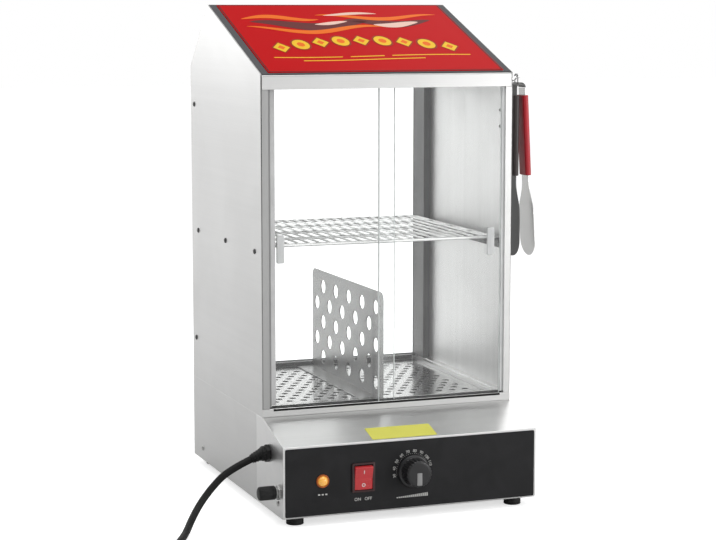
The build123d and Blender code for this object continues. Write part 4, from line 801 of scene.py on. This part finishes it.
class STEAMER_OT_cabinet(SteamerOperator, Operator):
    """Side walls, roof, rear wall and door tracks"""

    bl_idname = "steamer.cabinet"
    bl_label = "Cabinet"

    roof_bends = (
        (CASE_Y, EAVE_Z),
        (CASE_Y + ROOF_RUN, EAVE_Z + ROOF_RISE),
        (REAR_Y, EAVE_Z + 0.002),
    )

    def execute(self, context):
        steel = steel_sheet("Y")
        across = steel_sheet("X")

        def side_fold(edge):
            upright = abs(edge.verts[0].co.z - edge.verts[1].co.z) > 0.3
            outside = all(abs(abs(vert.co.x) - HALF) < 2e-4 for vert in edge.verts)
            return upright and outside and between_sheets(edge)

        def roof_fold(edge):
            ends = edge.verts[0].co, edge.verts[1].co
            if abs(ends[0].x - ends[1].x) < 0.2 or not between_sheets(edge):
                return False
            return any((ends[0].yz - Vector(spot)).length < 5e-4 for spot in self.roof_bends)

        lining = brushed_metal("wall lining", (0.72, 0.72, 0.715), 0.45, "Z", 0.0, 0.75)
        # The front folds get a dark copy of the steel: a painted dark reflection.
        bend = brushed_metal("drawn bend", (0.26, 0.26, 0.258), 0.28, "Z", 0.2)
        # The left panel's front flange alone gets a darker copy of the steel: painted shade.
        flange = brushed_metal("shaded flange", (0.39, 0.39, 0.387), 0.34, "Z", 0.5)
        cut = sizes().sheet_edge
        for node, side in (("left_side_panel", -1), ("right_side_panel", 1)):
            wall = dressed_node(node, steel, cut, 1, side_fold)
            finish_faces(wall, (lining, bend, flange), lambda face, side=side: self.wall_finish(face, side))
        roof = dressed_node("roof_panel", across, cut, 1, roof_fold)
        rear_slope = brushed_metal("rear slope", (0.36, 0.36, 0.357), 0.34, "X", 0.5)
        finish_faces(roof, [rear_slope], self.roof_finish)
        # The rear frame is near black: painted shade on its posts.
        dark = moulded("dark frame", tuple(colours().rear_frame_painted_shade), 0.42, 1200.0, 0.08)
        dressed_node("rear_frame", dark, 0.0003)
        dressed_node("rear_glass_seal", moulded("seal rubber", (0.01, 0.01, 0.01), 0.6), 0.0001)
        satin = brushed_metal("satin aluminium", (0.50, 0.50, 0.50), 0.4, "X", 0.5)
        dressed_node("bottom_track", moulded("black track", (0.035, 0.035, 0.035), 0.45), 0.0002)
        dressed_node("top_track", satin, 0.0002)
        self.make_track_strip()
        pale = moulded("pale strip", (0.88, 0.89, 0.89), 0.45, 1200.0, 0.06)
        buffers = dressed_node("door_buffers", pale, 0.0003)
        # The left buffer gets a dark grey copy of the pale strip: painted shade; the right one stays pale.
        shaded = moulded("shaded strip", (0.26, 0.26, 0.26), 0.5, 1200.0, 0.06)
        finish_faces(buffers, [shaded], lambda face: int(face.center.x < 0))
        dressed_pane("rear_glass", clear_glass("rear pane"))
        return {"FINISHED"}

    def wall_finish(self, face, side):
        """Slot of a side panel's face: 1 the lining inside, 2 the bend in front, painted with a dark
        reflection, 3 the left flange, painted with shade.
        """
        if face.normal.x * side < -0.9 and face.area > 0.01:
            return 1
        if abs(face.normal.x) > 0.2 and face.normal.y < -0.2 and face.area > 5e-5:
            return 2
        return 3 if side < 0 and face.normal.y < -0.9 and face.area > 1e-3 else 0

    def roof_finish(self, face):
        """Slot of a roof face: 1 the rear slope."""
        return int(min(face.normal.y, face.normal.z) > 0.3 and face.area > WIDE_FACE)

    def make_track_strip(self):
        """A thin black strip along the front of the door track."""
        bm = bmesh.new()
        black = moulded("black strip", (0.004, 0.004, 0.004), 0.5, 1200.0, 0.05, 0.1, 0.2)
        outline = rounded_outline(2 * HALF - 0.026, 0.0024, 0.0004, 2)
        add_prism(bm, outline, facing_front(0, CASE_Y + 0.0003, 0.1184), 0.0007)
        make_piece(bm, "track_front_strip", BODY_OF["bottom_track"], black, ())


class STEAMER_OT_sign(SteamerOperator, Operator):
    """Red roof sign with its generic pattern"""

    bl_idname = "steamer.sign"
    bl_label = "Roof sign"

    panel_thickness = 0.0012
    slope = math.hypot(ROOF_RUN, ROOF_RISE)

    def execute(self, context):
        red = printed("sign red", tuple(colours().sign_red), 0.33, 0.012)
        dressed_node("sign_panel", red, 0.0003, 2)
        tilt = Matrix.Rotation(math.atan2(ROOF_RISE, ROOF_RUN), 4, "X")
        roof = Matrix.Translation((0, CASE_Y, EAVE_Z)) @ tilt
        face = roof @ Matrix.Translation((0, 0, self.panel_thickness))
        self.lift = sizes().print_height
        self.make_edging(roof)
        self.make_outline(face)
        self.make_ribbons(face)
        self.make_motifs(face)
        return {"FINISHED"}

    def decal(self, bm, name, tone):
        """Makes a printed piece that rides on the sign."""
        ink = printed(name.replace("_", " "), tone, 0.34, 0.02)
        make_piece(bm, name, BODY_OF["sign_panel"], ink, ())

    def strip(self, bm, face, start, end, centre, width, level=0.0):
        """A ribbon from one U to another; centre and width give its middle and half width at each U."""
        before = set(bm.verts)
        bmesh.ops.create_grid(bm, x_segments=44, y_segments=1, size=0.5)
        made = [vert for vert in bm.verts if vert not in before]
        for vert in made:
            share = vert.co.x + 0.5
            u = start + (end - start) * share
            v = centre(u) + (1 if vert.co.y > 0 else -1) * width(share)
            vert.co = face @ Vector((u, v, level))
        faces = list({item for vert in made for item in vert.link_faces})
        top = [
            item for item in bmesh.ops.extrude_face_region(bm, geom=faces)["geom"]
            if isinstance(item, bmesh.types.BMVert)
        ]
        bmesh.ops.translate(bm, verts=top, vec=face.to_3x3() @ Vector((0, 0, self.lift)))

    def make_outline(self, face):
        """A thin dark line round the sign's red ground."""
        bm = bmesh.new()
        low, high, side, half = 0.0058, self.slope - 0.0058, 0.1408, 0.0008
        for level in (low, high):
            self.strip(bm, face, -side, side, lambda u, level=level: level, lambda share: half)
        for edge in (-side, side):
            bar = [(edge - half, low), (edge + half, low), (edge + half, high), (edge - half, high)]
            add_prism(bm, bar, face, self.lift)
        self.decal(bm, "sign_outline", (0.10, 0.02, 0.02))

    def make_edging(self, roof):
        """Grey edging strips on the roof round the sign."""
        bm = bmesh.new()
        low, high, inner, outer = 0.0004, self.slope - 0.0018, 0.1428, HALF - 0.0016
        bars = [(-outer, -inner, low, high), (inner, outer, low, high)]
        bars += [(-inner, inner, low, 0.0036), (-inner, inner, self.slope - 0.0046, high)]
        for left, right, start, end in bars:
            add_prism(bm, [(left, start), (right, start), (right, end), (left, end)], roof, 0.0005, 0.0001, 1)
        grey = printed("grey edging", (0.10, 0.10, 0.105), 0.5, 0.02)
        make_piece(bm, "sign_edging", BODY_OF["sign_panel"], grey, ())

    def make_ribbons(self, face):
        """Long tapered steam ribbons that cross the upper half."""

        def taper(most):
            """Half width along a ribbon that is thin at both ends."""
            return lambda share: most * math.sin(math.pi * share) ** 0.7 + 0.0001

        groups = (  # ribbons: start, end, middle, swing, waves, phase, greatest half width
            ("sign_brown", tuple(colours().sign_brown), [
                (-0.118, 0.030, 0.152, 0.009, 42.0, 0.0, 0.0125),
                (0.000, 0.112, 0.158, 0.007, 55.0, 1.2, 0.0105),
            ], 0.0),
            ("sign_orange", tuple(colours().sign_orange), [
                (-0.126, 0.050, 0.136, 0.010, 40.0, 0.5, 0.0058),
                (-0.030, 0.126, 0.176, 0.007, 46.0, 2.4, 0.0052),
                (-0.126, -0.030, 0.172, 0.006, 60.0, 0.9, 0.0060),
            ], 1.0),
            ("sign_cream", tuple(colours().sign_cream), [
                (-0.040, 0.004, 0.158, 0.007, 44.0, 0.3, 0.0045),
                (0.034, 0.094, 0.153, 0.006, 60.0, 1.6, 0.0075),
                (-0.020, 0.050, 0.184, 0.004, 52.0, 0.0, 0.0038),
            ], 2.0),
        )
        for name, tone, ribbons, level in groups:
            bm = bmesh.new()
            for start, end, middle, swing, waves, phase, most in ribbons:
                self.strip(
                    bm, face, start, end,
                    lambda u, m=middle, s=swing, w=waves, p=phase: m + s * math.sin(w * u + p),
                    taper(most), level * self.lift,
                )
            self.decal(bm, name, tone)

    def make_motifs(self, face):
        """A shallow arch of discs and lozenges, with broken lines under it."""
        outline, inner, core = bmesh.new(), bmesh.new(), bmesh.new()
        count = 9
        for i in range(count):
            share = i / (count - 1) * 2 - 1
            u, v = share * 0.104, 0.098 - 0.020 * share * share
            sides = 28 if i % 2 else 4
            for bm, radius, level in ((outline, 0.0122, 1), (inner, 0.0100, 2), (core, 0.0046, 3)):
                matrix = face @ Matrix.Translation((u, v, level * self.lift))
                add_prism(bm, ring(sides, radius, 1.45), matrix, self.lift)
        dashes = [(-0.122, -0.040, 0.050), (-0.030, 0.012, 0.050), (0.022, 0.120, 0.050)]
        dashes.append((-0.090, 0.060, 0.040))
        for start, end, middle in dashes:
            def wave(u, middle=middle):
                return middle + 0.003 * math.sin(20 * u)

            self.strip(inner, face, start, end, wave, lambda share: 0.0011)
        self.decal(outline, "sign_motif_rims", (0.30, 0.03, 0.01))
        self.decal(inner, "sign_yellow", tuple(colours().sign_yellow))
        self.decal(core, "sign_motif_cores", tuple(colours().sign_orange))


class STEAMER_OT_controls(SteamerOperator, Operator):
    """Control film, its marks, the lamp, the switch, the knob and the ledge label"""

    bl_idname = "steamer.controls"
    bl_label = "Controls"

    face_y = FRONT_Y - 0.0005  # face of the film
    lamp = (-0.1068, 0.0505)  # x and z of each middle
    switch = (-0.0591, 0.051)
    dial = (0.0, 0.054)

    def execute(self, context):
        film = moulded("control film", tuple(colours().panel_black), 0.42, 1500.0, 0.05, 0.25, 0.22)
        dressed_node("control_overlay", film, 0.00012)
        label = printed("label yellow", tuple(colours().label_yellow), 0.4)
        dressed_node("ledge_label", label, 0.00006)
        self.make_marks()
        self.make_lamp()
        self.make_switch()
        self.make_knob()
        return {"FINISHED"}

    def add_words(self, bm, words, size, x, z, turn=0.0):
        """Flat lettering on the control film, centred on a place."""
        font = bpy.data.curves.new("marks", "FONT")
        font.body = words
        font.size = size
        font.align_x, font.align_y = "CENTER", "CENTER"
        font.extrude = sizes().print_height / 2
        font.resolution_u = 3
        holder = bpy.data.objects.new("marks", font)
        bpy.context.collection.objects.link(holder)
        bpy.context.view_layer.update()
        mesh = bpy.data.meshes.new_from_object(holder.evaluated_get(bpy.context.evaluated_depsgraph_get()))
        place = facing_front(x, self.face_y - sizes().print_height / 2, z)
        mesh.transform(place @ Matrix.Rotation(turn, 4, "Z"))
        bm.from_mesh(mesh)
        bpy.data.objects.remove(holder)
        bpy.data.curves.remove(font)
        bpy.data.meshes.remove(mesh)

    def make_marks(self):
        """Plain figures and ticks round the dial, the switch's two words, dots and a rising scale."""
        bm = bmesh.new()
        lift = sizes().print_height
        radius = sizes().tick_radius
        values = [str(30 + 10 * i) for i in range(9)]
        first, last = math.radians(192.0), math.radians(18.0)  # angles of the first and the last figure
        for i, value in enumerate(values):
            angle = first + (last - first) * i / (len(values) - 1)
            x, z = self.dial[0] + radius * math.cos(angle), self.dial[1] + radius * math.sin(angle)
            self.add_words(bm, value, 0.0046, x, z, angle - math.pi / 2)
        for i in range(3 * len(values) - 2):
            angle = first + (last - first) * i / (3 * len(values) - 3)
            start, end = 0.0188, 0.0196 if i % 3 else 0.0199
            spot = facing_front(self.dial[0], self.face_y, self.dial[1]) @ Matrix.Rotation(angle, 4, "Z")
            add_prism(bm, [(start, -0.0002), (end, -0.0002), (end, 0.0002), (start, 0.0002)], spot, lift)
        self.add_words(bm, "ON   OFF", 0.0050, self.switch[0], 0.0262)
        centre = facing_front(self.lamp[0], self.face_y, 0.0352)
        for offset in (-0.0042, 0.0, 0.0042):
            bar = centre @ Matrix.Translation((offset, 0, 0))
            add_prism(bm, rounded_outline(0.0026, 0.0016, 0.0007, 3), bar, lift)
        rising = facing_front(self.dial[0], self.face_y, 0.0235)
        for i in range(16):
            left, top = -0.019 + 0.0024 * i, 0.0012 + 0.00018 * i
            bar = [(left, 0), (left + 0.0015, 0), (left + 0.0015, top), (left, top)]
            add_prism(bm, bar, rising, lift)
        ink = printed("white print", tuple(colours().print_grey), 0.5)
        make_piece(bm, "printed_marks", BODY_OF["control_overlay"], ink, ())

    def make_lamp(self):
        """The lamp's ring with its shank and two blades, and its faceted dome."""
        x, z = self.lamp
        bm = bmesh.new()
        bezel = [(0.0, 0.0), (7.5, 0.0), (7.5, 0.9), (7.1, 1.6), (6.3, 1.75), (6.0, 1.5)]
        bezel += [(5.9, 0.4), (0.0, 0.4)]
        add_turned(bm, bezel, (x, self.face_y, z), (0, -1, 0), 40)
        shank = [(0.0, 0.0), (6.0, 0.0), (6.0, 22.0), (5.0, 23.0), (0.0, 23.0)]
        add_turned(bm, shank, (x, self.face_y, z), (0, 1, 0), 32)
        for offset in (-0.0025, 0.0025):
            low = (x + offset - 0.0004, self.face_y + 0.0225, z - 0.002)
            add_box(bm, low, (x + offset + 0.0004, self.face_y + 0.030, z + 0.002), 0.0001)
        amber = moulded("amber ring", (0.42, 0.10, 0.012), 0.25, 1500.0, 0.03)
        make_piece(bm, "lamp_ring", BODY_OF["pilot_lamp"], amber, ("pilot_lamp",))
        bm = bmesh.new()
        dome = [(0.0, 5.0), (1.6, 4.85), (3.0, 4.35), (4.3, 3.5), (5.2, 2.4), (5.7, 1.2)]
        dome += [(5.8, 0.45), (0.0, 0.45)]
        add_turned(bm, dome, (x, self.face_y, z), (0, -1, 0), 40)
        material, tree, shader, place = blank_material("amber lens")
        facets = add_node(tree, "ShaderNodeTexVoronoi", {"Vector": place, "Scale": 900.0})
        amber_dark, amber_light = tuple(colours().lamp_amber), (0.9, 0.55, 0.12)
        tone = colour_between(tree, facets.outputs["Distance"], amber_dark, amber_light)
        tree.links.new(tone, shader.inputs["Base Color"])
        tree.links.new(tone, shader.inputs["Emission Color"])
        shader.inputs["Emission Strength"].default_value = 0.25
        shader.inputs["Roughness"].default_value = 0.12
        shader.inputs["Coat Weight"].default_value = 0.6
        tree.links.new(bump(tree, facets.outputs["Distance"], 0.3, 0.0003), shader.inputs["Normal"])
        make_piece(bm, "lamp_dome", BODY_OF["lamp_lens"], material, ("lamp_lens",))

    def make_switch(self):
        """The switch's body, its rocker and the two marks inlaid in it."""
        x, z = self.switch
        dark_red = moulded("switch bezel", (0.030, 0.006, 0.007), 0.3, 1500.0, 0.04)
        dressed_node("switch_body", dark_red, 0.0005, 2)
        red = moulded("rocker red", tuple(colours().rocker_red), 0.22, 1500.0, 0.02)
        dressed_node("rocker_button", red, 0.0007, 3)
        bm = bmesh.new()
        tilt = Matrix.Rotation(math.radians(8.0), 4, "X")
        rocked = Matrix.Translation((x, self.face_y + 0.004, z)) @ tilt

        def half(side):
            """Drawing plane on the upper (1) or the lower (-1) half of the rocker's face."""
            lean = Matrix.Rotation(math.pi / 2 + side * math.atan2(0.0012, 0.0131), 4, "X")
            return rocked @ Matrix.Translation((0, -0.0069, side * 0.0076)) @ lean

        add_prism(bm, rounded_outline(0.0009, 0.0042, 0.0003, 2), half(1), 0.0002)
        hoop = [(1.302, 0.0), (2.1, 0.0), (2.1, 0.2), (1.302, 0.2), (1.302, 0.0)]
        lower = half(-1)
        add_turned(bm, hoop, lower.translation, lower.to_3x3() @ Vector((0, 0, 1)), 20)
        white = printed("white inlay", (0.75, 0.72, 0.70), 0.4)
        make_piece(bm, "rocker_marks", BODY_OF["rocker_button"], white, ())

    def make_knob(self):
        """The knob with its skirt and flutes, and the pointer let into its face."""
        x, z = self.dial
        bm = bmesh.new()
        profile = [
            (3.0, 0.8), (17.6, 0.8), (18.4, 1.3), (18.5, 2.0), (18.5, 4.6), (18.1, 5.5), (17.0, 6.1),
            (16.2, 6.4), (15.9, 7.2), (15.6, 12.0), (15.3, 18.0), (15.0, 20.2), (14.2, 21.3), (13.0, 21.7),
            (11.0, 21.8), (0.0, 21.8),
        ]
        flutes = sizes().flutes
        steps = flutes * 4
        verts = add_turned(bm, profile, (x, self.face_y, z), (0, -1, 0), steps)
        for vert in verts:
            off = Vector((vert.co.x - x, vert.co.z - z))
            out = self.face_y - vert.co.y
            if out > 0.0068 and off.length > 0.0139:
                angle = math.atan2(off.y, off.x) * flutes
                depth = 0.0009 * max(0.0, math.cos(angle)) ** 1.5
                scale = (off.length - depth) / off.length
                vert.co.x, vert.co.z = x + off.x * scale, z + off.y * scale
        gloss = moulded("knob plastic", (0.010, 0.010, 0.011), 0.3, 1500.0, 0.04)
        make_piece(bm, "knob_body", BODY_OF["thermostat_knob"], gloss, ("thermostat_knob",), smooth=40.0)
        bm = bmesh.new()
        spot = facing_front(x, self.face_y - 0.0212, z - 0.00565)
        add_prism(bm, rounded_outline(0.0060, 0.0143, 0.0010, 4), spot, 0.0010, 0.0004, 2)
        grey = moulded("pointer grey", (0.24, 0.24, 0.24), 0.35, 1500.0, 0.04)
        make_piece(bm, "knob_pointer_bar", BODY_OF["knob_pointer"], grey, ("knob_pointer",))
        paint_node("thermostat_spindle", steel_parts())


class STEAMER_OT_doors(SteamerOperator, Operator):
    """Sliding glass doors and their pulls"""

    bl_idname = "steamer.doors"
    bl_label = "Doors"

    def execute(self, context):
        pane = clear_glass("door pane")
        pull = moulded("pale moulding", (0.60, 0.61, 0.61), 0.25, 1500.0, 0.03)
        for side in ("left", "right"):
            dressed_pane(f"{side}_door_glass", pane)
            dressed_node(f"{side}_door_pull", pull, 0.0004, 2)
        self.make_edge_profile()
        return {"FINISHED"}

    def make_edge_profile(self):
        """A plastic channel clipped over the outer upright edge of the left pane."""
        bm = bmesh.new()
        low, high = (Vector(corner) - CASE_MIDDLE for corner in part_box("left_door_glass"))
        middle = (low[1] + high[1]) / 2
        half = [(-0.0003, 0.0029), (0.0073, 0.0029), (0.0076, 0.0026), (0.0076, 0.00205), (0.0001, 0.00205)]
        outline = half + [(u, -v) for u, v in reversed(half)]
        short = 0.0065  # the channel stays this far from the pane's ends
        spot = Matrix.Translation((low[0], middle, low[2] + short))
        add_prism(bm, outline, spot, high[2] - low[2] - 2 * short)
        strip = moulded("grey strip", (0.60, 0.60, 0.602), 0.4, 1200.0, 0.05)
        make_piece(bm, "left_door_edge", BODY_OF["left_door_glass"], strip, ())


class STEAMER_OT_inside(SteamerOperator, Operator):
    """Shelf, floor, divider, tank and the works in the base"""

    bl_idname = "steamer.inside"
    bl_label = "Inside"

    def execute(self, context):
        bright = brushed_metal("bright sheet", (0.31, 0.31, 0.307), 0.20, "Y", 0.5)
        divider = brushed_metal("divider sheet", (0.195, 0.195, 0.193), 0.32, "Y", 0.6)
        # The shelf rails are near black: painted shade.
        dressed_node("shelf_rails", brushed_metal("shaded rail", (0.08, 0.08, 0.08), 0.45, "Y", 0.5), 0.0002)
        dressed_node("wire_shelf", bare_metal("plated wire", (0.74, 0.74, 0.735), 0.55, 0.04), 0.0001)
        dressed_node("perforated_floor", bright, 0.0002)
        dressed_node("hot_dog_divider", divider, 0.0002)
        paint_node("water_tank", brushed_metal("drawn tank", (0.58, 0.58, 0.57), 0.35, "X", 0.3))
        paint_node("heating_element", bare_metal("heat darkened tube", (0.30, 0.27, 0.24), 0.4, 0.3))
        brass = bare_metal("turned brass", (0.62, 0.47, 0.20), 0.28)
        copper = bare_metal("copper", (0.65, 0.36, 0.22), 0.3)
        for node, material in (
            ("element_nuts", brass),
            ("thermostat_bulb", copper),
            ("bulb_clips", steel_parts()),
            ("drain_pipe", steel_parts()),
            ("thermostat_body", steel_parts()),
            ("safety_cutout", moulded("cut-out body", (0.05, 0.045, 0.04), 0.4)),
            ("terminal_block", moulded("terminal body", (0.62, 0.60, 0.54), 0.45)),
            ("wiring", moulded("wire sleeving", (0.20, 0.05, 0.02), 0.55, 600.0, 0.3)),
        ):
            paint_node(node, material)
        return {"FINISHED"}


class STEAMER_OT_tongs(SteamerOperator, Operator):
    """Tongs on their hook"""

    bl_idname = "steamer.tongs"
    bl_label = "Tongs"

    def execute(self, context):
        polished = brushed_metal("polished strip", (0.80, 0.80, 0.795), 0.22, "Z", 0.5)
        # The inner arm gets a dark copy of the polished strip: painted shade.
        shaded = brushed_metal("dark polished strip", (0.11, 0.11, 0.11), 0.22, "Z", 0.5)
        dressed_node("tongs_hook", polished, 0.0002)
        dressed_node("tongs_outer_arm", polished, 0.0002)
        dressed_node("tongs_inner_arm", shaded, 0.0002)
        paint_node("tongs_loop", bare_metal("loop wire", (0.34, 0.34, 0.34), 0.25))
        red = moulded("grip red", tuple(colours().grip_red), 0.35, 900.0, 0.08)
        # The inner sleeve, red like the outer one, gets a near-black brown: painted shade.
        brown = moulded("grip brown", (0.020, 0.012, 0.011), 0.4, 900.0, 0.08)
        dressed_node("tongs_outer_grip", red, 0.0004, 2)
        dressed_node("tongs_inner_grip", brown, 0.0004, 2)
        return {"FINISHED"}


class STEAMER_OT_fixings(SteamerOperator, Operator):
    """Screws, drain fitting and drain cap"""

    bl_idname = "steamer.fixings"
    bl_label = "Fixings"

    def execute(self, context):
        steel = screw_steel()
        shelf_row = 0.2965
        side_rows = [(REAR_Y - 0.016, 0.451), (REAR_Y - 0.016, 0.161)]
        side_rows += [(y, shelf_row) for y in (REAR_Y - 0.029, REAR_Y - 0.145, CASE_Y + 0.026)]
        base_rows = [(FRONT_Y + 0.0185, 0.025), (REAR_Y - 0.04, 0.025)]
        pale = bare_metal("plated screw", (0.50, 0.50, 0.49), 0.3)
        for name, node, rows, reach, finish in (
            ("cabinet_screw_set", "cabinet_screws", side_rows, 6.0, steel),
            ("base_screw_set", "housing_screws", base_rows, 5.0, pale),
        ):
            bm = bmesh.new()
            for side in (-1, 1):
                for y, z in rows:
                    self.add_screw(bm, (side * (HALF + 0.00005), y, z), side, reach)
            make_piece(bm, name, BODY_OF[node], finish, (node,))
        bm = bmesh.new()
        hook_y = CASE_Y + 0.027  # middle of the hook's plate
        for z in (0.431, 0.450):
            self.add_screw(bm, (HALF + 0.00165, hook_y, z), 1, 6.5)
            nut = turned_matrix((HALF - 0.001, hook_y, z), (-1, 0, 0))
            add_prism(bm, ring(6, 0.003), nut, 0.0024, 0.0003)
        make_piece(bm, "hook_screw_set", BODY_OF["hook_fixings"], steel, ("hook_fixings",))
        self.make_drain()
        return {"FINISHED"}

    def add_screw(self, bm, place, side, reach):
        """A pan-head screw with a cross recess."""
        head = [(0.0, 1.55), (1.4, 1.5), (2.3, 1.25), (2.9, 0.8), (3.15, 0.3), (3.2, 0.0)]
        shank = [(1.5, 0.0), (1.5, -reach), (0.0, -reach)]
        add_turned(bm, head + shank, place, (side, 0, 0), 20)
        top = turned_matrix((place[0] + side * 0.00135, place[1], place[2]), (side, 0, 0))
        for turn in (0.0, math.pi / 2):
            slot = top @ Matrix.Rotation(turn + 0.6, 4, "Z")
            half, thick = 0.0015, 0.00032
            add_prism(bm, [(-half, -thick), (half, -thick), (half, thick), (-half, thick)], slot, 0.00022)

    def make_drain(self):
        """The drain's nuts and collar, and its cap with grip ribs."""
        outward, inward = (-1, 0, 0), (1, 0, 0)
        bm = bmesh.new()
        add_prism(bm, ring(6, 0.0085), turned_matrix(DRAIN, outward), 0.003, 0.0005)
        collar = [(5.1, 3.0), (6.5, 3.0), (6.5, 4.6), (6.1, 5.0), (5.1, 5.0), (5.1, 3.0)]
        add_turned(bm, collar, DRAIN, outward, 36)
        add_prism(bm, ring(6, 0.0085), turned_matrix(DRAIN + Vector((0.001, 0, 0)), inward), 0.004, 0.0005)
        turned = bare_metal("turned fitting", (0.34, 0.34, 0.335), 0.3)
        make_piece(bm, "drain_nuts", BODY_OF["drain_fitting"], turned, ("drain_fitting",))
        bm = bmesh.new()
        cap = [
            (5.1, 6.3), (5.1, 5.3), (7.3, 5.3), (7.7, 5.8), (7.7, 8.2), (7.3, 8.6), (7.75, 9.0),
            (7.75, 21.6), (7.3, 23.3), (5.9, 24.2), (0.0, 24.3),
        ]
        cut_grip(add_turned(bm, cap, DRAIN, outward, 72), DRAIN, math.pi / 36, 0.0070, 0.94, 0.0087)
        add_turned(bm, [(5.1, 6.3), (5.1, 16.2), (0.0, 16.2)], DRAIN, outward, 72)
        make_piece(bm, "drain_cap_body", BODY_OF["drain_cap"], black_plastic(), ("drain_cap",))


STEPS = (
    STEAMER_OT_stage,
    STEAMER_OT_mains_lead,
    STEAMER_OT_base,
    STEAMER_OT_cabinet,
    STEAMER_OT_sign,
    STEAMER_OT_controls,
    STEAMER_OT_doors,
    STEAMER_OT_inside,
    STEAMER_OT_tongs,
    STEAMER_OT_fixings,
)


class STEAMER_PT_panel(Panel):
    """The sizes, the colours and the steps in the order in which they run"""

    bl_idname = "STEAMER_PT_panel"
    bl_label = "Hot Dog Steamer"
    bl_space_type = "VIEW_3D"
    bl_region_type = "UI"
    bl_category = "Steamer"

    def draw(self, context):
        for group in (context.scene.steamer_sizes, context.scene.steamer_colours):
            box = self.layout.box()
            for name in group.__annotations__:
                box.prop(group, name)
        for step in STEPS:
            self.layout.operator(step.bl_idname)


CLASSES = (SteamerSizes, SteamerColours, *STEPS, STEAMER_PT_panel)


def register():
    for item in CLASSES:
        bpy.utils.register_class(item)
    bpy.types.Scene.steamer_sizes = PointerProperty(type=SteamerSizes)
    bpy.types.Scene.steamer_colours = PointerProperty(type=SteamerColours)


def unregister():
    del bpy.types.Scene.steamer_colours
    del bpy.types.Scene.steamer_sizes
    for item in reversed(CLASSES):
        bpy.utils.unregister_class(item)


def main():
    register()
    for step in STEPS:
        group, name = step.bl_idname.split(".")
        getattr(getattr(bpy.ops, group), name)()


if __name__ == "__main__":
    main()
